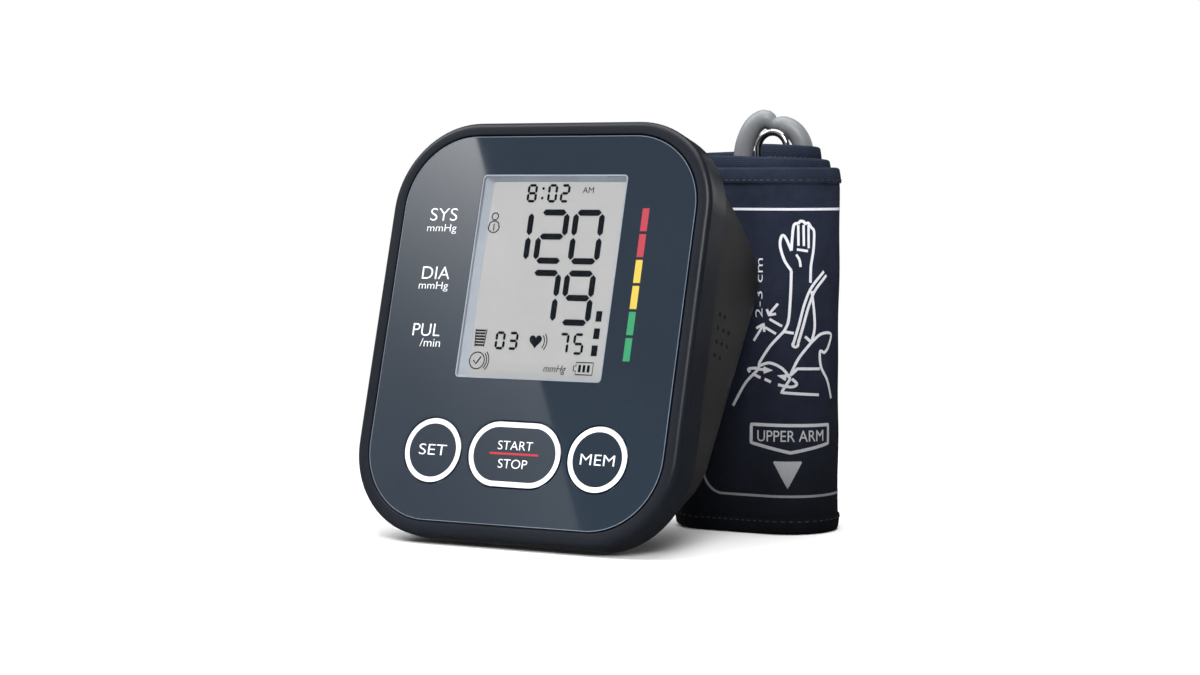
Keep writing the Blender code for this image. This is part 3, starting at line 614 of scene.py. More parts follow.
def add_strip(bm, points, widths, surface, lift, closed=False):
    """A thin closed strip along flat points, laid on a surface; widths is one width or one for each point."""
    rows = []
    count = len(points)
    for i, point in enumerate(points):
        before = points[i - 1] if closed or i > 0 else point
        after = points[(i + 1) % count] if closed or i < count - 1 else point
        ahead = (Vector(after) - Vector(before)).normalized()
        width = widths[i] if hasattr(widths, "__len__") else widths
        side = Vector((-ahead.y, ahead.x)) * width / 2
        corners = [
            surface(point[0] + sign * side.x, point[1] + sign * side.y, height)
            for sign, height in ((1, 0.0), (1, lift), (-1, lift), (-1, 0.0))
        ]
        rows.append([bm.verts.new(corner) for corner in corners])
    join_rows(bm, rows, along_ring=closed)
    if not closed:
        bm.faces.new(list(reversed(rows[0])))
        bm.faces.new(rows[-1])


def add_patch(bm, outline, surface, lift):
    """A thin closed patch with a flat outline, laid on a surface."""
    rows = [[bm.verts.new(surface(a, b, height)) for a, b in outline] for height in (0.0, lift)]
    join_rows(bm, rows)
    bm.faces.new(list(reversed(rows[0])))
    bm.faces.new(rows[1])


def panel_surface(x, z, lift):
    """A point printed on the panel."""
    return Vector((x, PANEL_FRONT - lift, z))


def lcd_surface(x, z, lift):
    """A point on the display glass."""
    return Vector((x, LCD_DEPTH - 0.02 - lift, z))


# ---------------------------------------------------------------- front of the monitor

def make_bezel():
    """The front shell: rounded outer edge, crisp inner lip, the ledge under the panel and four posts."""
    edge = 2.2
    lip = 0.35
    chamfer = 0.4
    profile = [(PANEL_INSET, LEDGE_FRONT)]
    profile += reversed(quarter((PANEL_INSET - lip, lip), lip, -90.0, 3))
    profile += reversed(quarter((edge, edge), edge, 180.0, 6))
    profile += [(0.0, 6.0), (0.0, BEZEL_DEPTH - chamfer), (chamfer, BEZEL_DEPTH), (BEZEL_WALL, BEZEL_DEPTH)]
    profile += [(BEZEL_WALL, LEDGE_BACK), (LEDGE_INSET, LEDGE_BACK), (LEDGE_INSET, LEDGE_FRONT)]
    bm = loft([at_depth(face_outline(inset), depth) for inset, depth in profile], ring=True)
    for x, z in POSTS:
        add_post(bm, x, z)
    made = piece("bezel_shell", bm, "bezel", "monitor", FACE, 20.0)
    for vertex in made.data.vertices:
        vertex.co.z = max(vertex.co.z, 0.0)
    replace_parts(made, "front_bezel")


def add_post(bm, x, z):
    """A screw post with a bore, standing on the inside of the bezel."""
    radius, bore = 3.4, 1.5
    foot, head, bore_end = 4.0, 12.9, 5.5
    rows = []
    for size, depth in ((radius, foot), (radius, head), (bore, head), (bore, bore_end)):
        circle = stadium(0.0, 0.0, 0.0, size, 10)
        rows.append([bm.verts.new((x + px, depth, z + pz)) for px, pz in circle])
    join_rows(bm, rows)
    bm.faces.new(list(reversed(rows[0])))
    bm.faces.new(rows[-1])


GROOVE = 0.6


def make_panel():
    """The glossy front plate, a lighter strip round its edge that is a painted highlight, the window's wall
    and the clear window.
    """
    holes = [window_outline(0.0)]
    for centre, half_straight in KEY_PLACES.values():
        holes.append(stadium(centre, KEY_ROW, half_straight, KEY_RADIUS + 0.3))
    bm = plate([face_outline(PANEL_INSET + GROOVE)] + holes, PANEL_FRONT, PANEL_BACK, 0.12)
    panel = piece("panel_plate", bm, "panel", "monitor", FACE, FLAT)
    panel.visible_shadow = False
    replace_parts(panel, "front_panel")

    # a lighter ring round the panel's edge: painted highlight standing in for the edge catching light
    start = PANEL_INSET + GROOVE
    line = [(0.05, 0.2), (0.05, 0.04), (0.3, 0.04), (0.3, 0.2)]
    bm = loft([at_depth(face_outline(start + inset), depth) for inset, depth in line], ring=True)
    piece("panel_edge_line", bm, "rim", "monitor", FACE, FLAT)

    opening = window_outline(-0.03)
    pane = window_outline(-0.5)
    bottom = LCD_DEPTH - 0.05
    wall = [
        at_depth(opening, PANEL_FRONT), at_depth(opening, bottom), at_depth(drawn_window(2.7, 1.4), bottom),
        at_depth(pane, 1.35), at_depth(pane, PANEL_FRONT),
    ]
    bm = loft(wall, ring=True)
    frame_piece = piece("window_wall", bm, "window_wall", "monitor", FACE, FLAT)
    frame_piece.visible_shadow = False

    bm = plate([window_outline(-0.53)], PANEL_FRONT, 1.3, 0.1)
    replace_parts(piece("window_pane", bm, "lens", "monitor", FACE, FLAT), "window_lens")


def make_keys():
    """Three key caps level with the panel, each with its white ring; their lettering is made with the panel
    print.
    """
    round_edge = 0.35
    flange = KEY_RADIUS + 0.9
    stem = 2.5
    flange_front, flange_back, stem_end = 3.2, 4.2, 8.1
    for name, (centre, half_straight) in KEY_PLACES.items():
        sections = quarter((KEY_RADIUS - round_edge, PANEL_FRONT + round_edge), round_edge, -90.0, 4)
        sections += [(KEY_RADIUS, flange_front), (flange, flange_front), (flange, flange_back)]
        sections += [(stem, flange_back), (stem, stem_end)]
        loops = []
        for radius, depth in sections:
            loops.append(at_depth(stadium(centre, KEY_ROW, half_straight, radius), depth))
        cap = piece(name + "_cap", loft(loops), "panel", name, FACE, FLAT)
        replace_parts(cap, name)
        bm = bmesh.new()
        middle = stadium(centre, KEY_ROW, half_straight, KEY_RADIUS - 1.2)
        add_strip(bm, middle, 1.8, panel_surface, INK_LIFT, closed=True)
        piece(name + "_ring", bm, "white_ink", name, FACE)


KEY_WORDS = {
    "set_word": ("SET", (-37.6, -26.4, -46.3, -42.5), "key_set"),
    "start_word": ("START", (-5.9, 7.9, -43.0, -39.9), "key_start"),
    "stop_word": ("STOP", (-4.9, 6.6, -49.4, -46.3), "key_start"),
    "mem_word": ("MEM", (27.0, 40.2, -46.6, -42.9), "key_mem"),
}
PANEL_WORDS = {
    "systolic_word": ("SYS", (-47.2, -36.0, 38.2, 42.8)),
    "systolic_unit": ("mmHg", (-47.8, -35.6, 33.4, 36.9)),
    "diastolic_word": ("DIA", (-47.1, -35.6, 16.8, 21.3)),
    "diastolic_unit": ("mmHg", (-47.8, -35.6, 12.3, 15.8)),
    "pulse_word": ("PUL", (-47.5, -36.2, -4.0, 0.5)),
    "pulse_unit": ("/min", (-43.8, -35.4, -7.8, -4.8)),
}


def make_panel_print():
    """Function labels and the colour scale beside the window."""
    for name, (text, box, body) in KEY_WORDS.items():
        print_words(name, text, box, "white_ink", body)
    for name, (text, box) in PANEL_WORDS.items():
        print_words(name, text, box, "white_ink", "monitor")

    bm = bmesh.new()
    add_strip(bm, [(-8.8, -44.4), (10.5, -44.4)], 0.75, panel_surface, INK_LIFT)
    piece("start_divider", bm, "dull_red_ink", "key_start", FACE)

    inks = ("red_ink", "red_ink", "yellow_ink", "yellow_ink", "green_ink", "green_ink")
    top = 43.2
    pitch = 9.11
    for number, ink in enumerate(inks):
        bm = bmesh.new()
        high = top - number * pitch
        add_strip(bm, [(39.5, high), (39.5, high - 8.1)], 2.6, panel_surface, INK_LIFT)
        piece(f"scale_bar_{number + 1}", bm, ink, "monitor", FACE)


# ---------------------------------------------------------------- display

SEGMENTS = {
    "0": "abcdef", "1": "bc", "2": "abdeg", "3": "abcdg", "5": "acdfg", "7": "abc", "8": "abcdefg",
    "9": "abcdfg",
}


def lcd_line(bm, points, width, closed=False):
    """A dark line in the display."""
    add_strip(bm, points, width, lcd_surface, INK_LIFT, closed)


def lcd_piece(name, bm):
    """A finished symbol or row of figures of the display."""
    piece(name, bm, "lcd_ink", "monitor", FACE)


def add_digit(bm, digit, box, thick, gap):
    """A seven-segment figure in box = (left, right, low, high), with pointed segment ends."""
    left, right = box[0] + thick / 2, box[1] - thick / 2
    low, high = box[2] + thick / 2, box[3] - thick / 2
    middle = (low + high) / 2
    ends = {
        "a": ((left, high), (right, high)), "b": ((right, high), (right, middle)),
        "c": ((right, middle), (right, low)), "d": ((left, low), (right, low)),
        "e": ((left, middle), (left, low)), "f": ((left, high), (left, middle)),
        "g": ((left, middle), (right, middle)),
    }
    for letter in SEGMENTS[digit]:
        start, end = (Vector(point) for point in ends[letter])
        ahead = (end - start).normalized()
        across = Vector((-ahead.y, ahead.x)) * thick / 2
        near = start + ahead * gap
        far = end - ahead * gap
        point_in = ahead * thick / 2
        outline = [
            near, near + point_in - across, far - point_in - across, far, far - point_in + across,
            near + point_in + across,
        ]
        add_patch(bm, [tuple(point) for point in outline], lcd_surface, INK_LIFT)


def make_figures():
    """The readings: a sample systolic, diastolic and pulse value, the clock and the memory number."""
    big = 2.2
    readings = {
        "systolic_figures": [("1", (-18.2, -5.9)), ("2", (-4.0, 8.4)), ("0", (9.9, 22.4))],
        "diastolic_figures": [("7", (-4.1, 8.3)), ("9", (9.7, 22.1))],
    }
    rows = {"systolic_figures": (23.7, 43.3), "diastolic_figures": (1.9, 21.5)}
    for name, digits in readings.items():
        bm = bmesh.new()
        for digit, (left, right) in digits:
            add_digit(bm, digit, (left, right, *rows[name]), big, 0.35)
        lcd_piece(name, bm)
    small = 0.95
    small_rows = {
        "clock_figures": ((45.8, 52.5), [("8", (-10.0, -6.0)), ("0", (-1.7, 2.2)), ("2", (3.4, 7.2))]),
        "memory_figures": ((-7.4, -0.9), [("0", (-14.6, -10.6)), ("3", (-9.4, -5.4))]),
        "pulse_figures": ((-8.3, -0.7), [("7", (10.9, 14.9)), ("5", (16.6, 20.8))]),
    }
    for name, ((low, high), digits) in small_rows.items():
        bm = bmesh.new()
        for digit, (left, right) in digits:
            add_digit(bm, digit, (left, right, low, high), small, 0.12)
        if name == "clock_figures":
            for height in (50.9, 47.4):
                lcd_line(bm, [(-3.7, height - 0.45), (-3.7, height + 0.45)], 0.9)
        lcd_piece(name, bm)


def arc_points(x, z, radius, start, end, steps=12):
    """Points of an arc in the face plane; angles in degrees."""
    points = []
    for i in range(steps + 1):
        angle = math.radians(start + (end - start) * i / steps)
        points.append((x + radius * math.cos(angle), z + radius * math.sin(angle)))
    return points


def make_sitter():
    """A sitting person, seen from the front."""
    line = 0.38
    bm = bmesh.new()
    lcd_line(bm, arc_points(-21.8, 40.6, 1.3, 0.0, 345.0), line, closed=True)
    shoulders = [(-24.0, 36.2), (-23.6, 38.2), (-22.4, 38.9), (-21.2, 38.9), (-20.0, 38.2), (-19.6, 36.2)]
    lcd_line(bm, shoulders, line)
    lcd_line(bm, arc_points(-21.8, 37.0, 2.3, 180.0, 360.0), line)
    lcd_line(bm, [(-21.8, 35.4), (-21.8, 37.8)], line)
    lcd_piece("sitter_icon", bm)


def make_list_mark():
    """A narrow stack of bars between two sides."""
    bm = bmesh.new()
    for number in range(6):
        height = -0.8 - number * 1.05
        narrower = number * 0.05
        lcd_line(bm, [(-22.8 + narrower, height), (-18.9 - narrower, height)], 0.62)
    lcd_line(bm, [(-23.0, -0.3), (-22.6, -6.6)], 0.3)
    lcd_line(bm, [(-18.5, -0.3), (-19.0, -6.6)], 0.3)
    lcd_piece("list_icon", bm)


def make_heart():
    """A heart with two sound waves."""
    bm = bmesh.new()
    heart = []
    for i in range(32):
        t = 2 * math.pi * i / 32
        x = 16 * math.sin(t) ** 3
        z = 13 * math.cos(t) - 5 * math.cos(2 * t) - 2 * math.cos(3 * t) - math.cos(4 * t)
        heart.append((1.6 + x * 0.155, -3.9 + z * 0.165))
    add_patch(bm, heart, lcd_surface, INK_LIFT)
    for radius in (3.6, 4.6):
        lcd_line(bm, arc_points(1.6, -4.1, radius, -38.0, 38.0), 0.34)
    lcd_piece("heart_icon", bm)


def make_level_blocks():
    """Three blocks, one above the other."""
    bm = bmesh.new()
    for low in (3.6, -2.5, -8.5):
        lcd_line(bm, [(25.3, low), (25.3, low + 3.7)], 2.3)
    lcd_piece("level_blocks", bm)


def make_check_mark():
    """A ringed check mark with two sound waves."""
    line = 0.38
    bm = bmesh.new()
    lcd_line(bm, arc_points(-20.9, -11.6, 3.0, 0.0, 350.0, 30), line, closed=True)
    for radius in (3.9, 4.8):
        lcd_line(bm, arc_points(-20.9, -11.6, radius, -42.0, 42.0), 0.34)
    lcd_line(bm, [(-22.3, -11.5), (-21.2, -12.8), (-19.4, -10.2)], 0.5)
    lcd_piece("check_icon", bm)


def make_battery_mark():
    """A battery with three full cells."""
    bm = bmesh.new()
    case = [
        (19.0, -15.2), (25.6, -15.2), (25.6, -10.9), (19.0, -10.9), (19.0, -12.2), (18.1, -12.2),
        (18.1, -13.9), (19.0, -13.9),
    ]
    lcd_line(bm, case, 0.34, closed=True)
    for x in (20.5, 22.2, 23.9):
        lcd_line(bm, [(x, -14.3), (x, -11.8)], 1.0)
    lcd_piece("battery_icon", bm)


def make_display_words():
    """The two small words of the display."""
    depth = LCD_DEPTH - 0.05
    for name, text, box, slant in (
        ("morning_word", "AM", (12.2, 16.6, 49.3, 51.4), 0.0),
        ("unit_word", "mmHg", (6.2, 15.2, -15.5, -12.2), 0.3),
    ):
        print_words(name, text, box, "lcd_ink", "monitor", depth, slant)


# ---------------------------------------------------------------- rear housing

def soft_min(a, b, blend):
    """The lower of two values, rounded where they cross."""
    closeness = max(blend - abs(a - b), 0.0)
    return min(a, b) - closeness * closeness / (4 * blend)


def rear_depth(z):
    """Depth of the rear surface behind the face at a height z up the face."""
    depth = soft_min(REAR_DEPTH + math.tan(REAR_SLOPE) * z, 115.0 - 1.808 * z, 21.0)
    depth = soft_min(depth, 74.1 + 0.95 * z, 7.0)
    return -soft_min(-depth, -15.2, 8.0)


def rear_shell(inset, wall, front):
    """The closed volume under the rear surface, drawn in by inset at the sides and by wall at the back."""
    right = half_outline(FACE_WIDTH / 2 - inset, FACE_HEIGHT / 2 - inset, FACE_CORNER - inset, 43, 18)
    fillet_steps = 6
    loops = [[] for _ in range(fillet_steps + 2)]
    for x, z in right:
        slope = rear_depth(z + 0.5) - rear_depth(z - 0.5)
        depth = max(rear_depth(z) - wall * math.sqrt(1 + slope * slope), front + 0.8)
        fillet = min(5.0, 0.7 * (depth - front))
        away_x = max(abs(x) - FACE_WIDTH / 2 + FACE_CORNER, 0.0)
        away_z = math.copysign(max(abs(z) - FACE_HEIGHT / 2 + FACE_CORNER, 0.0), z)
        reach = math.hypot(away_x, away_z) or 1.0
        loops[0].append((x, front, z))
        for turn in range(fillet_steps + 1):
            angle = math.pi / 2 * turn / fillet_steps
            drawn = fillet * (1 - math.cos(angle)) / reach
            loops[turn + 1].append(
                (x - drawn * away_x, depth - fillet * (1 - math.sin(angle)), z - drawn * away_z)
            )
    loops = [half + [(-x, y, z) for x, y, z in reversed(half)] for half in loops]
    bm = bmesh.new()
    rows = [[bm.verts.new(point) for point in loop] for loop in loops]
    join_rows(bm, rows)
    count = len(loops[0])
    for row in (rows[0], rows[-1]):
        for i in range(count // 2 - 1):
            bm.faces.new((row[i], row[i + 1], row[count - 2 - i], row[count - 1 - i]))
    return bm


def rod(radius, start, length, axis, segments=24):
    """A bmesh of a round bar from start along an axis."""
    turn = {"X": Matrix.Rotation(math.pi / 2, 4, "Y"), "Y": Matrix.Rotation(-math.pi / 2, 4, "X")}[axis]
    bm = bmesh.new()
    bmesh.ops.create_cone(bm, cap_ends=True, segments=segments, radius1=radius, radius2=radius, depth=length)
    bmesh.ops.translate(bm, vec=(0.0, 0.0, length / 2), verts=bm.verts)
    bmesh.ops.transform(bm, matrix=turn, verts=bm.verts)
    bmesh.ops.translate(bm, vec=start, verts=bm.verts)
    return bm


def block(low, high, bevel=0.0):
    """A bmesh of a block between two corners, with rounded edges."""
    bm = bmesh.new()
    bmesh.ops.create_cube(bm, size=1.0)
    bmesh.ops.scale(bm, vec=Vector(high) - Vector(low), verts=bm.verts)
    bmesh.ops.translate(bm, vec=(Vector(low) + Vector(high)) / 2, verts=bm.verts)
    if bevel:
        bmesh.ops.bevel(bm, geom=bm.edges[:], offset=bevel, segments=3, profile=0.5, affect="EDGES")
    return bm


def cutter(collection, bm, space):
    """A hidden shape that other pieces are cut with."""
    bmesh.ops.recalc_face_normals(bm, faces=bm.faces)
    mesh = mesh_of("cutter", bm)
    mesh.transform(space @ Matrix.Scale(MM, 4))
    made = bpy.data.objects.new("cutter", mesh)
    collection.objects.link(made)
    return made


def cut(target, collection):
    """Cut every shape of a collection out of target, apply it and remove the shapes."""
    step = target.modifiers.new("cut", "BOOLEAN")
    step.operand_type = "COLLECTION"
    step.collection = collection
    step.solver = "EXACT"
    bpy.context.view_layer.update()
    mesh = bpy.data.meshes.new_from_object(target.evaluated_get(bpy.context.evaluated_depsgraph_get()))
    target.modifiers.clear()
    target.data = mesh
    for shape in list(collection.objects):
        bpy.data.objects.remove(shape)
    mesh.shade_smooth()
    mesh.set_sharp_from_angle(angle=math.radians(30.0))


def new_collection(name):
    """A collection in the scene, for shapes that are cut away."""
    made = bpy.data.collections.new(name)
    bpy.context.scene.collection.children.link(made)
    return made


WELL_RADIUS = 3.2
SCREW_HOLE_RADIUS = 1.7
BOSS_RADIUS = 4.4
POWER_SLOT = ((59.0, SEAM - 1.0, -38.4), (64.0, SEAM + 3.1, -26.6))
SPEAKER_X, SPEAKER_Y, SPEAKER_Z = 57.0, 25.0, 4.1
SPEAKER_HOLE = 0.9
SPEAKER_PITCH_Y = 4.2
SPEAKER_PITCH_Z = 4.8
AIR_HOLE = 5.2
WALL_REACH = 8.0


def make_housing():
    """The dark rear shell with its screw wells, speaker holes, air and power openings and battery bay."""
    bm = rear_shell(HOUSING_INSET, 0.0, SEAM)
    housing = piece("rear_shell", bm, "housing", "monitor", FACE, 30.0)
    hollow = new_collection("hollow")
    cavity = cutter(hollow, rear_shell(HOUSING_INSET + HOUSING_WALL, HOUSING_WALL, SEAM - 0.5), FACE)
    bosses = new_collection("bosses")
    for x, z in POSTS:
        cutter(bosses, rod(BOSS_RADIUS, (x, SEAM - 2.0, z), 45.0, "Y"), FACE)
    cut(cavity, bosses)
    cut(housing, hollow)

    openings = new_collection("openings")
    for x, z in POSTS:
        cutter(openings, rod(WELL_RADIUS, (x, SEAM + 4.0, z), 45.0, "Y"), FACE)
        cutter(openings, rod(SCREW_HOLE_RADIUS, (x, SEAM - 2.0, z), 10.0, "Y", 16), FACE)
    cutter(openings, block(*POWER_SLOT), FACE)
    for row, columns in ((-1.5, (0, 1)), (-0.5, (0, 1, 2)), (0.5, (0, 1, 2)), (1.5, (0, 1))):
        for column in columns:
            depth = SPEAKER_Y + (column - 1) * SPEAKER_PITCH_Y
            place = (SPEAKER_X, depth, SPEAKER_Z + row * SPEAKER_PITCH_Z)
            cutter(openings, rod(SPEAKER_HOLE, place, WALL_REACH, "X", 16), FACE)
    cutter(openings, rod(AIR_HOLE, (-65.0, 26.0, 0.0), WALL_REACH, "X", 32), FACE)
    left, right, low, high = COVER
    cutter(openings, block((left - 0.5, -6.0, low - 0.5), (right + 0.5, 4.0, high + 0.5)), BACK)
    cut(housing, openings)
    for vertex in housing.data.vertices:
        vertex.co.z = max(vertex.co.z, 0.0)
    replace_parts(housing, "rear_housing")


def lid_surface(x, z, lift):
    """A point on the outside of the battery cover."""
    return Vector((x, lift, z))


def make_battery_cover():
    """The cover on the sloping back, with softened edges, grip ridges and an arrow for the thumb."""
    left, right, low, high = COVER
    cover = piece(
        "battery_lid", block((left, -2.0, low), (right, 0.0, high), 0.35), "housing", "battery_cover", BACK,
        30.0
    )
    grooves = new_collection("grooves")
    for number in range(5):
        base = low + 4.0 + number * 1.9
        cutter(grooves, block((-9.0, -0.5, base), (9.0, 1.0, base + 0.9)), BACK)
    cut(cover, grooves)
    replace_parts(cover, "battery_cover")
    bm = bmesh.new()
    add_patch(bm, [(-4.0, -25.5), (4.0, -25.5), (0.0, -20.5)], lid_surface, 0.3)
    piece("lid_arrow", bm, "housing", "battery_cover", BACK)


# ---------------------------------------------------------------- cuff

def roll_point(turn, inset):
    """A point of the roll and its outward direction. Turn 0 is at the middle of the back."""
    radius = ROLL_RADIUS - TURN_PITCH * turn - inset
    part = turn % 1.0
    half = STRAIGHT_SHARE / 2
    if part < half or part >= 1.0 - half:
        along = part if part < half else part - 1.0
        return Vector((along / half * ROLL_STRAIGHT, radius, 0.0)), Vector((0.0, 1.0, 0.0))
    if half + ARC_SHARE <= part < half + ARC_SHARE + STRAIGHT_SHARE:
        along = (part - half - ARC_SHARE) / STRAIGHT_SHARE
        return Vector((ROLL_STRAIGHT * (1.0 - 2.0 * along), -radius, 0.0)), Vector((0.0, -1.0, 0.0))
    side = 1.0 if part < 0.5 else -1.0
    begun = half if part < 0.5 else half + ARC_SHARE + STRAIGHT_SHARE
    angle = side * math.pi / 2 - math.pi * (part - begun) / ARC_SHARE
    out = Vector((math.cos(angle), math.sin(angle), 0.0))
    return Vector((side * ROLL_STRAIGHT, 0.0, 0.0)) + out * radius, out


MIDDLE_INSET = 1.5
PINCH = 0.42
PINCH_REACH = 9.0


def cloth_point(turn, inset, z):
    """A point of the cuff: its layers draw together at the bound edges, and the cloth ripples a little."""
    edge = min(z, CLOTH_HEIGHT - z) / PINCH_REACH
    closeness = max(0.0, 1.0 - edge) ** 2 * PINCH
    drawn = inset + (MIDDLE_INSET - inset) * closeness
    ripple = 0.14 * math.sin(turn * 41.0 + z * 0.045) + 0.10 * math.sin(turn * 23.0 - z * 0.11 + 1.0)
    ripple += 0.10 * math.sin(z * 0.21 + turn * 5.0)
    place, out = roll_point(turn, drawn)
    rise = TURN_RISE * max(turn - FLAT_TURNS, 0.0)
    return place + out * ripple + Vector((0.0, 0.0, max(z + rise, 0.0)))


def roll_turns(start, end, step):
    """Turn values from start to end, evenly spaced."""
    count = math.ceil((end - start) / step)
    return [start + (end - start) * i / count for i in range(count + 1)]


def roll_length(start, end, inset):
    """The length of the cloth between two turn values, in millimetres."""
    marks = [cloth_point(turn, inset, CLOTH_HEIGHT / 2) for turn in roll_turns(start, end, 0.005)]
    flat = [Vector((mark.x, mark.y, 0.0)) for mark in marks]
    return sum((b - a).length for a, b in zip(flat, flat[1:]))


def add_wound_sheet(bm, start, end, section, step):
    """A sheet wound into the roll. section lists (inset, z) round its edge; UV runs in millimetres."""
    layer = bm.loops.layers.uv.verify()
    turns = roll_turns(start, end, step)
    rows = [[bm.verts.new(cloth_point(turn, inset, z)) for inset, z in section] for turn in turns]
    count = len(section)
    along = 0.0
    for i in range(len(rows) - 1):
        width = (rows[i + 1][0].co - rows[i][0].co).length
        for j in range(count):
            k = (j + 1) % count
            face = bm.faces.new((rows[i][j], rows[i][k], rows[i + 1][k], rows[i + 1][j]))
            places = ((along, j), (along, k), (along + width, k), (along + width, j))
            for loop, (across, corner) in zip(face.loops, places):
                loop[layer].uv = (across, section[corner][1] + section[corner][0])
        along += width
    bm.faces.new(rows[0])
    bm.faces.new(list(reversed(rows[-1])))


def sheet_section(inset, thick, low, high, rows):
    """The cut of a sheet: up its outer side and down its inner side."""
    heights = [low + (high - low) * i / rows for i in range(rows + 1)]
    return [(inset, z) for z in heights] + [(inset + thick, z) for z in reversed(heights)]


SHEET_STEP = 0.009


def make_cuff():
    """Outer cloth, bladder and inner cloth wound together, with bound edges and a hook and loop patch."""
    sheets = {}
    for name, start, end, inset, thick, margin, look, node in (
        ("cuff_outside", 0.0, TURNS, 0.0, CLOTH_THICK, 0.4, "nylon", "cuff_outer_cloth"),
        ("cuff_inside", 0.02, TURNS, 2.3, CLOTH_THICK, 0.4, "nylon", "cuff_inner_cloth"),
        ("bladder_sheet", 0.45, TURNS - 0.12, 1.0, 1.0, 12.0, "bladder", "air_bladder"),
        ("loop_strip", -0.08, 0.06, -1.2, 0.9, 10.0, "hook_and_loop", "loop_patch"),
    ):
        section = sheet_section(inset, thick, margin, CLOTH_HEIGHT - margin, 36)
        bm = bmesh.new()
        add_wound_sheet(bm, start, end, section, SHEET_STEP)
        sheets[name] = piece(name, bm, look, "cuff", CUFF, 50.0)
        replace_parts(sheets[name], node)

    for name, bound in (("top_binding", True), ("bottom_binding", False)):
        bm = bmesh.new()
        add_wound_sheet(bm, 0.0, TURNS, binding_section(bound), SHEET_STEP)
        trim = piece(name, bm, "binding", "cuff", CUFF, 50.0)
        make_stitches(name + "_stitches", bound)
    roll_length(0.0, TURNS, 0.35) * MM
    roll_length(0.02, TURNS, 2.65) * MM
    roll_length(-0.08, 0.06, -0.75) * MM


BINDING_WIDTH = 5.7
BINDING_LIFT = 0.45


def binding_section(top):
    """A folded tape round one edge: over the outer cloth, round the edge and over the inner cloth."""
    outer = -BINDING_LIFT - 0.25
    inner = 3.0 + BINDING_LIFT + 0.25
    half = (inner - outer) / 2
    middle = (inner + outer) / 2
    bulge = 0.9
    section = [(outer + 0.2, BINDING_WIDTH), (outer, BINDING_WIDTH - 0.4), (outer, BINDING_WIDTH / 2)]
    for i in range(9):
        angle = math.pi * i / 8
        section.append((middle - half * math.cos(angle), bulge - bulge * math.sin(angle)))
    section += [(inner, BINDING_WIDTH / 2), (inner, BINDING_WIDTH - 0.4), (inner - 0.2, BINDING_WIDTH)]
    section += [(inner - 0.5, BINDING_WIDTH), (inner - 0.7, 1.6)]
    section += [(outer + 0.7, 1.6), (outer + 0.5, BINDING_WIDTH)]
    if top:
        return [(inset, CLOTH_HEIGHT - z) for inset, z in section]
    return section


def make_stitches(name, top):
    """A row of raised stitches along the binding's outer side."""
    bm = bmesh.new()
    pitch = 0.016
    share = 0.62
    inside = BINDING_WIDTH - 1.1
    height = CLOTH_HEIGHT - inside if top else inside
    base = -BINDING_LIFT - 0.22
    for i in range(int(TURNS / pitch)):
        start = i * pitch
        rows = []
        for k, size in enumerate((0.1, 0.26, 0.30, 0.26, 0.1)):
            turn = start + pitch * share * k / 4
            rows.append([
                bm.verts.new(cloth_point(turn, base - lift * size, height + up * size))
                for lift, up in ((0.0, -1.0), (0.9, -0.6), (0.9, 0.6), (0.0, 1.0))
            ])
        join_rows(bm, rows)
        bm.faces.new(list(reversed(rows[0])))
        bm.faces.new(rows[-1])
    return piece(name, bm, "thread", "cuff", CUFF, 60.0)


# ---------------------------------------------------------------- print on the cuff

def turn_at(across):
    """The turn value at a distance across the front of the cuff, to the right of its middle."""
    if abs(across) <= ROLL_STRAIGHT:
        return 0.5 - across / ROLL_STRAIGHT * STRAIGHT_SHARE / 2
    radius = ROLL_RADIUS - TURN_PITCH * (0.5 - math.copysign(0.2, across))
    angle = (abs(across) - ROLL_STRAIGHT) / radius
    return 0.5 - math.copysign(STRAIGHT_SHARE / 2 + ARC_SHARE * angle / math.pi, across)


def cuff_surface(across, z, lift):
    """A point on the outside of the cuff's front."""
    return cloth_point(turn_at(across), -lift - 0.02, z)


PRINT_LIFT = 0.07


def cuff_line(bm, points, width, curved=False, closed=False):
    """A printed line on the cuff."""
    line = smooth_line(points, 6) if curved else points
    add_strip(bm, evenly(line, 0.8, closed), width, cuff_surface, PRINT_LIFT, closed)


def add_wedge(bm, first, second, tip):
    """A solid printed triangle, made of narrow strips that run from its base to its tip."""
    strips = max(2, math.ceil((Vector(second) - Vector(first)).length))
    full = (Vector(second) - Vector(first)).length / strips
    for number in range(strips):
        start = Vector(first).lerp(Vector(second), (number + 0.5) / strips)
        points = evenly([start, tip], 0.8)
        widths = [full * (1.02 - i / len(points)) for i in range(len(points))]
        add_strip(bm, points, widths, cuff_surface, PRINT_LIFT)


def make_frame_print():
    """The outline round the printed side of the cuff."""
    left, right, low, high = -11.5, 66.0, 13.6, 115.8
    corner = 8.0
    outline = [(left + corner, high), (right - corner, high)]
    for x, z, start in (
        (right - corner, high - corner, 90.0), (right - corner, low + corner, 0.0),
        (left + corner, low + corner, -90.0), (left + corner, high - corner, -180.0),
    ):
        outline += arc_points(x, z, corner, start, start - 90.0, 10)[1:]
    bm = bmesh.new()
    cuff_line(bm, outline, 0.9, closed=True)
    piece("frame_print", bm, "cuff_ink", "cuff", CUFF)


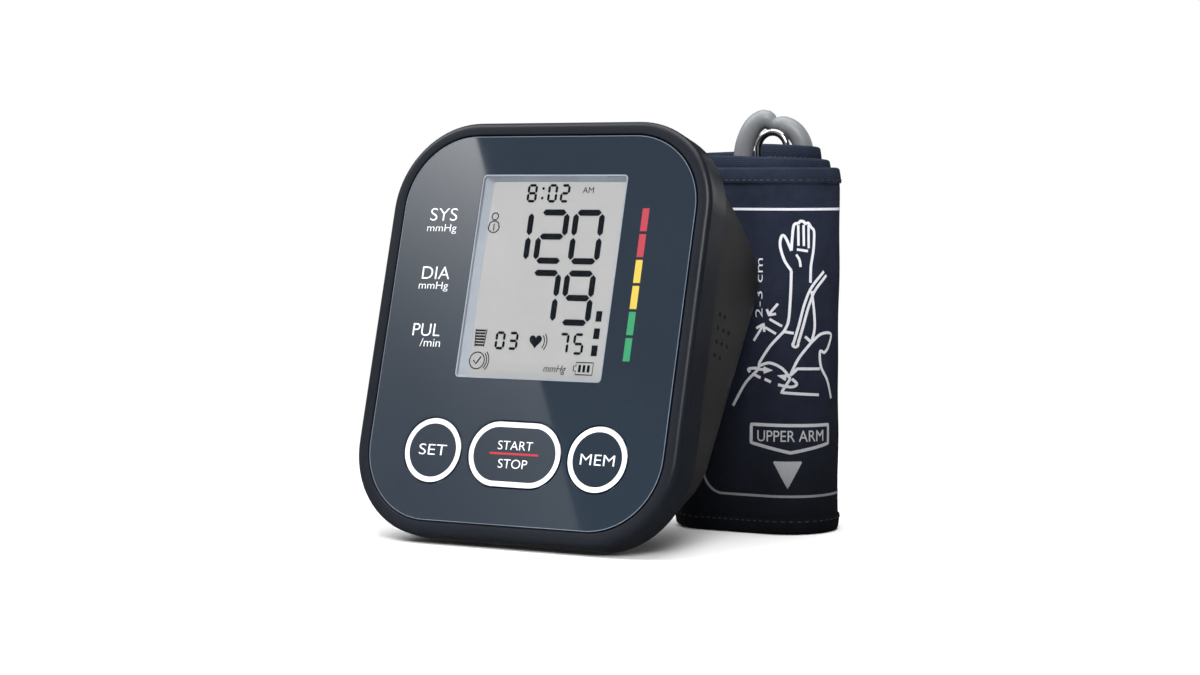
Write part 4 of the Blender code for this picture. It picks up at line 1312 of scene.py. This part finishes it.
ARM_CURVES = (
    [(22.5, 94.1), (20.1, 97.7), (18.5, 102.7), (18.9, 106.1), (20.2, 106.1), (22.5, 101.2)],
    [(22.5, 101.2), (23.1, 109.1), (23.9, 110.7), (24.9, 110.7)],
    [(24.9, 110.7), (25.7, 111.6), (26.9, 111.4), (27.5, 110.7), (28.7, 110.9), (29.9, 109.3)],
    [(29.9, 109.3), (31.1, 107.7), (30.9, 101.2), (29.9, 95.7), (29.7, 89.8)],
    [(22.5, 94.1), (22.3, 86.4), (21.6, 76.5), (19.9, 72.5)],
    [(30.2, 86.8), (31.3, 79.4), (31.5, 73.5), (30.1, 68.6)],
    [(35.5, 93.7), (30.3, 88.3), (27.5, 82.4), (25.3, 74.5), (23.3, 68.0)],
    [(36.7, 92.3), (31.7, 87.1), (29.1, 81.4), (26.9, 74.1), (25.1, 68.4)],
    [(19.9, 72.5), (14.9, 67.2), (10.7, 61.1)],
    [(30.1, 68.6), (25.3, 63.0), (22.3, 56.9)],
    [(30.1, 68.6), (34.5, 71.5), (39.7, 71.1), (37.5, 66.2)],
    [(37.5, 66.2), (35.7, 64.8), (33.7, 65.2), (34.1, 59.7), (37.3, 54.7), (39.9, 48.2)],
    [(10.7, 61.1), (10.1, 58.7), (5.3, 53.8), (0.3, 45.5)],
    [(10.7, 60.1), (14.9, 61.3), (19.5, 59.3), (22.3, 55.7)],
    [(9.9, 59.3), (6.5, 58.9), (7.1, 57.7)],
    [(22.9, 55.7), (24.7, 53.8), (22.5, 52.8), (17.9, 53.6)],
)
ARM_STRAIGHTS = (
    [(19.9, 72.5), (23.5, 71.9)],
    [(27.7, 70.7), (30.1, 68.6)],
    [(22.3, 56.9), (24.9, 59.3), (33.5, 59.1)],
    [(22.3, 55.7), (19.1, 50.8), (33.3, 49.8)],
    [(10.3, 58.9), (13.3, 58.9)],
    [(8.9, 56.9), (11.3, 55.9)],
    [(12.9, 55.5), (15.3, 54.5)],
)
ARM_LINE = 1.0
FINGER_LINE = 0.9


def make_arm_print():
    """A forearm with its palm up, the tube along it and the cuff's place above the elbow."""
    bm = bmesh.new()
    for points in ARM_CURVES:
        cuff_line(bm, points, ARM_LINE, True)
    for points in ARM_STRAIGHTS:
        cuff_line(bm, points, ARM_LINE)
    for across, low in ((24.9, 102.9), (26.9, 102.8), (28.8, 102.0)):
        cuff_line(bm, [(across, 110.2), (across + 0.2, low)], FINGER_LINE)
    cuff_line(bm, [(24.5, 101.6), (28.7, 101.0)], FINGER_LINE)
    cuff_line(bm, [(24.3, 99.8), (25.5, 97.8), (25.9, 95.4)], FINGER_LINE, True)
    cuff_line(bm, arc_points(24.1, 68.0, 1.0, 160.0, 380.0, 8), ARM_LINE)
    add_wedge(bm, (12.5, 57.4), (12.5, 60.0), (15.9, 58.7))
    add_wedge(bm, (21.2, 57.3), (20.6, 54.9), (17.7, 56.9))
    piece("arm_print", bm, "cuff_ink", "cuff", CUFF)


def make_gap_print():
    """The two arrows and ticks that show the gap between elbow and cuff, with a plain measure beside them."""
    bm = bmesh.new()
    width = 0.9
    cuff_line(bm, [(17.8, 82.4), (14.5, 78.6)], width)
    cuff_line(bm, [(13.7, 80.4), (14.5, 78.3), (17.1, 78.8)], width)
    cuff_line(bm, [(8.5, 69.0), (12.3, 74.7)], width)
    cuff_line(bm, [(9.5, 73.5), (12.5, 75.1), (12.7, 72.3)], width)
    cuff_line(bm, [(14.7, 76.9), (19.3, 74.4)], width)
    cuff_line(bm, [(13.1, 73.9), (17.1, 71.7)], width)
    piece("gap_print", bm, "cuff_ink", "cuff", CUFF)
    wrap_words("gap_measure", "2-3 cm", (9.2, 12.0, 77.4, 98.4), True)


def wrap_words(name, text, box, upright=False, weight=-0.008):
    """Lettering wrapped onto the cuff; upright runs it up the cloth."""
    left, right, low, high = box
    if upright:
        bm = words(text, (0.0, high - low, 0.0, right - left), 0.0, weight)
    else:
        bm = words(text, (0.0, right - left, 0.0, high - low), 0.0, weight)
    for vert in bm.verts:
        lift = PRINT_LIFT if vert.co.y < 0.0 else 0.0
        if upright:
            vert.co = cuff_surface(right - vert.co.z, low + vert.co.x, lift)
        else:
            vert.co = cuff_surface(left + vert.co.x, low + vert.co.z, lift)
    piece(name, bm, "cuff_ink", "cuff", CUFF)


def make_badge_print():
    """A pointed badge and the arrow under it, which show which end goes up the arm."""
    bm = bmesh.new()
    badge = [(7.7, 39.2), (38.1, 38.9), (38.1, 32.2), (22.5, 29.3), (7.7, 32.6)]
    cuff_line(bm, badge, 1.15, closed=True)
    add_wedge(bm, (16.2, 26.2), (26.8, 26.2), (21.5, 16.4))
    piece("badge_print", bm, "cuff_ink", "cuff", CUFF)
    wrap_words("badge_word", "UPPER ARM", (10.1, 35.5, 33.2, 37.2), weight=0.0)


# ---------------------------------------------------------------- metal ring and air tube

def make_ring():
    """The round-wire loop that the cuff's end is threaded through."""
    x, y = RING_PLACE
    radius = RING_WIDTH / 2
    wire = RING_WIRE / 2
    reach = radius + wire
    bm = bmesh.new()
    rows = []
    for centre_z, start in ((RING_HIGH - reach, 0.0), (RING_LOW + reach, 180.0)):
        for i in range(25):
            angle = math.radians(start + 180.0 * i / 24)
            out = Vector((math.cos(angle), 0.0, math.sin(angle)))
            middle = Vector((x, y, centre_z)) + out * radius
            rows.append([
                bm.verts.new(middle + out * wire * math.cos(t) + Vector((0.0, wire * math.sin(t), 0.0)))
                for t in (2 * math.pi * k / 20 for k in range(20))
            ])
    join_rows(bm, rows, along_ring=True)
    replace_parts(piece("ring_wire", bm, "chrome", "cuff", CUFF, 60.0), "metal_ring")


ARCH_ROUTE = [
    (16.3, 3.5, 112.3), (16.3, 3.5, 122.0), (17.2, 3.5, 131.0), (17.5, 3.4, 138.0), (14.6, 2.8, 143.4),
    (10.2, 2.0, 145.9), (7.0, 1.3, 146.2), (3.3, 0.6, 148.1), (-0.8, -0.4, 145.2), (-3.6, -1.2, 138.5),
    (-4.3, -1.4, 130.0), (-4.0, -1.4, 121.0), (-4.0, -1.4, 112.3),
]
KINK = Vector((7.4, 1.4, 146.2))
KINK_DRAWN_IN = 0.28
KINK_REACH = 2.2


def half_turn(centre_x, y, centre_z, radius, upward, rightward):
    """Points of a fold of the tube in an upright plane."""
    points = []
    for i in range(13):
        angle = math.pi * i / 12
        side = -math.cos(angle) if rightward else math.cos(angle)
        height = math.sin(angle) if upward else -math.sin(angle)
        points.append((centre_x + radius * side, y, centre_z + radius * height))
    return points


def tube_route():
    """The whole tube: the arch that shows, then folded up and down in two layers inside the roll."""
    front, rear = -1.4, 5.85
    left, right = -14.75, 7.75
    wide = (right - left) / 2
    middle = (right + left) / 2
    narrow = 6.9
    route = list(ARCH_ROUTE)
    route += [(-6.4, front, 103.0), (-10.6, front, 93.0), (-13.8, front, 84.0)]
    route += [(left, front, 74.0), (left, front, 48.0)]
    route += half_turn(middle, front, 22.75, wide, False, True)
    route += [(right, front, 48.0), (right, 0.4, 64.0), (right, 4.6, 78.0)]
    route += half_turn(middle, rear, 88.5, wide, True, False)
    route += [(left, rear, 66.0), (left, rear, 42.0)]
    route += half_turn(left + narrow, rear, 18.5, narrow, False, True)
    route += [
        (-0.95, rear, 40.0), (-0.6, 4.4, 55.0), (0.6, 0.6, 68.0), (3.6, -1.2, 81.0), (7.0, -1.2, 92.0),
        (7.6, 1.6, 102.5), (7.6, 4.9, 110.0), (7.6, 5.2, 112.3),
    ]
    return smooth_line(route, 4)


def make_tube():
    """One length of soft tube from the cuff's nipple to the plug that fits the monitor."""
    curve = bpy.data.curves.new("soft_tube", "CURVE")
    curve.dimensions = "3D"
    curve.bevel_depth = TUBE_DIAMETER / 2 * MM
    curve.bevel_resolution = 6
    curve.use_fill_caps = True
    route = tube_route()
    spline = curve.splines.new("POLY")
    spline.points.add(len(route) - 1)
    for target, point in zip(spline.points, route):
        target.co = (*(CUFF @ (point * MM)), 1.0)
        target.radius = 1.0 - KINK_DRAWN_IN * math.exp(-((point - KINK).length / KINK_REACH) ** 2)
    curve.materials.append(LOOKS["tube"])
    tube = bpy.data.objects.new("soft_tube", curve)
    bpy.context.scene.collection.objects.link(tube)
    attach(tube, "cuff")
    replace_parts(tube, "air_tube", "tube_hank")


# ---------------------------------------------------------------- finishes of the CAD pieces that stay

NODE_LOOKS = {
    "lcd_module": "display", "backlight": "white_plastic", "main_pcb": "board", "processor": "black_plastic",
    "pressure_sensor": "white_plastic", "usb_socket": "steel", "speaker": "black_plastic",
    "air_manifold": "grey_plastic", "air_socket": "grey_plastic", "valve_body": "steel",
    "valve_plunger": "brass", "pump_head": "grey_plastic", "pump_motor": "steel", "pump_crank": "brass",
    "pump_hose": "black_rubber", "pump_saddle": "black_rubber", "battery_tray": "black_plastic",
    "contact_top": "steel", "contact_bottom": "steel", "tube_nipple": "grey_plastic",
    "air_plug": "black_plastic",
}
NODE_LOOKS.update({f"battery_{number}": "cell" for number in range(1, 5)})
NODE_LOOKS.update({f"housing_screw_{number}": "steel" for number in range(1, 5)})
NODE_LOOKS.update({f"rubber_foot_{number}": "black_rubber" for number in range(1, 5)})
NODE_LOOKS.update({name.replace("key", "dome"): "steel" for name in KEY_PLACES})


def finish_nodes():
    """Give each CAD piece that stays its procedural finish."""
    for name, look in NODE_LOOKS.items():
        for slot in frame["nodes"][name].material_slots:
            slot.material = LOOKS[look]


# ---------------------------------------------------------------- studio

CAMERA_FROM_WINDOW = Vector((0.4516, -0.7772, 0.0513))
CAMERA_YAW = math.radians(28.695)
CAMERA_PITCH = math.radians(3.5)


def make_camera():
    """A long lens to the front right, a little above the middle of the face."""
    data = bpy.data.cameras.new("camera")
    data.lens = 78.0
    data.sensor_width = 36.0
    camera = bpy.data.objects.new("camera", data)
    camera.location = FACE @ Vector((WINDOW[0] * MM, 0.0, 0.45 * MM)) + CAMERA_FROM_WINDOW
    camera.rotation_euler = (math.pi / 2 - CAMERA_PITCH, 0.0, CAMERA_YAW)
    bpy.context.scene.collection.objects.link(camera)
    bpy.context.scene.camera = camera
    return camera


def make_world():
    """White to look at; as light it comes from the upper left and leaves the right and the back dark."""
    world = bpy.data.worlds.new("studio")
    bpy.context.scene.world = world
    world.use_nodes = True
    nodes = world.node_tree.nodes
    background = nodes["Background"]
    direction = new_node(nodes, "TexCoord")
    towards = new_node(nodes, "VectorMath", operation="DOT_PRODUCT")
    towards.inputs[1].default_value = Vector((-0.6, -0.5, 0.6)).normalized()
    link(nodes, direction, "Generated", towards, 0)
    light = map_range(
        nodes, towards, "Value", (-0.3, 0.9), (0.05, 0.42), interpolation_type="SMOOTHSTEP"
    )
    path = new_node(nodes, "LightPath")
    level = new_node(nodes, "Mix", {3: 1.0})
    link(nodes, path, "Is Camera Ray", level, 0)
    link(nodes, light, "Result", level, 2)
    link(nodes, level, 0, background, "Strength")
    background.inputs["Color"].default_value = (1.0, 1.0, 1.0, 1.0)
    bpy.context.scene.view_settings.view_transform = "Standard"


def make_floor():
    """A pale floor that fades away into the white surroundings and isn't mirrored in the object."""
    bm = bmesh.new()
    bmesh.ops.create_grid(bm, x_segments=1, y_segments=1, size=4.0)
    mesh = mesh_of("floor", bm)
    look, nodes, shader = principled("floor_paper", (0.93, 0.93, 0.935), 0.7, Specular_IOR_Level=0.1)
    grain = noise(nodes, coordinates(nodes, "Object", 1.0), 400.0, 2.0)
    bump(nodes, shader, grain, 0.05, 0.0001)
    place = new_node(nodes, "TexCoord")
    distance = new_node(nodes, "VectorMath", operation="LENGTH")
    link(nodes, place, "Object", distance, "Vector")
    fade = map_range(
        nodes, distance, "Value", (0.16, 0.45), (1.0, 0.0), interpolation_type="SMOOTHSTEP"
    )
    link(nodes, fade, "Result", shader, "Alpha")
    mesh.materials.append(look)
    floor = bpy.data.objects.new("floor", mesh)
    floor.location.z = -0.0002
    floor.visible_glossy = False
    bpy.context.scene.collection.objects.link(floor)


def area_light(name, place, target, size, power):
    """A soft square light aimed at a point."""
    data = bpy.data.lights.new(name, "AREA")
    data.size = size
    data.energy = power
    lamp = bpy.data.objects.new(name, data)
    lamp.location = place
    lamp.rotation_euler = (Vector(target) - Vector(place)).to_track_quat("-Z", "Y").to_euler()
    bpy.context.scene.collection.objects.link(lamp)


def make_lights():
    """Key from the upper left, broad top light, fill from near the camera and a weak light behind."""
    middle = (0.0, 0.0, 0.07)
    area_light("key", (-1.0, -0.35, 1.15), middle, 0.7, 13.0)
    area_light("top", (0.0, 0.0, 1.4), middle, 1.2, 20.0)
    area_light("fill", (0.6, -1.0, 0.9), middle, 0.6, 17.0)
    area_light("rim", (0.55, 0.95, 0.35), middle, 0.4, 1.0)


def make_glare_card(camera):
    """A bright card whose mirror image lies on the left of the panel, up to a slanting edge.

    The card is drawn in the face's millimetres and then carried to the place where the camera sees it
    mirrored: as far in front of the face as the camera.
    """
    slant = 0.458
    edge_at_middle = -1.2
    half_width = FACE_WIDTH / 2
    half_height = FACE_HEIGHT / 2
    corners = [
        (-half_width, half_height), (edge_at_middle - slant * half_height, half_height),
        (edge_at_middle + slant * half_height, -half_height), (-half_width, -half_height),
    ]
    bm = bmesh.new()
    bm.faces.new([bm.verts.new((x, 0.0, z)) for x, z in corners])
    mesh = mesh_of("glare_card", bm)
    mesh.materials.append(glare(slant, edge_at_middle, half_height))
    seen = FACE.inverted() @ camera.location
    mirrored = Vector((seen.x, -seen.y, seen.z))
    away = 2.0
    card = bpy.data.objects.new("glare_card", mesh)
    card.matrix_world = FACE @ Matrix.Translation(mirrored * (1.0 - away)) @ Matrix.Scale(away * MM, 4)
    card.visible_camera = False
    card.visible_diffuse = False
    card.visible_shadow = False
    bpy.context.scene.collection.objects.link(card)


def glare(slant, edge_at_middle, half_height):
    """Light that is strongest at the top and along the slanting edge."""
    made = bpy.data.materials.new("glare")
    made.use_nodes = True
    nodes = made.node_tree.nodes
    nodes.clear()
    place = new_node(nodes, "TexCoord")
    split = new_node(nodes, "SeparateXYZ")
    link(nodes, place, "Object", split, "Vector")
    climb = map_range(nodes, split, "Z", (-half_height, half_height), (0.0, 1.0))
    steep = new_node(nodes, "Math", {1: 2.5}, operation="POWER")
    link(nodes, climb, "Result", steep, 0)
    height = map_range(nodes, steep, "Value", (0.0, 1.0), (1.1, 6.0))
    across = new_node(nodes, "VectorMath", {1: (1.0, 0.0, slant)}, operation="DOT_PRODUCT")
    link(nodes, place, "Object", across, 0)
    near = map_range(nodes, across, "Value", (edge_at_middle - 55.0, edge_at_middle), (0.62, 1.0))
    level = new_node(nodes, "Math", operation="MULTIPLY")
    link(nodes, height, "Result", level, 0)
    link(nodes, near, "Result", level, 1)
    glow = new_node(nodes, "Emission")
    link(nodes, level, "Value", glow, "Strength")
    link(nodes, glow, "Emission", new_node(nodes, "OutputMaterial"), "Surface")
    return made


def main():
    """Make every piece, the finishes and the studio."""
    camera = make_camera()
    make_tube()
    make_world()
    make_floor()
    make_lights()
    make_glare_card(camera)
    make_bezel()
    make_panel()
    make_keys()
    make_panel_print()
    make_figures()
    make_sitter()
    make_list_mark()
    make_heart()
    make_level_blocks()
    make_check_mark()
    make_battery_mark()
    make_display_words()
    make_housing()
    make_battery_cover()
    make_cuff()
    make_frame_print()
    make_arm_print()
    make_gap_print()
    make_badge_print()
    make_ring()
    finish_nodes()


main()
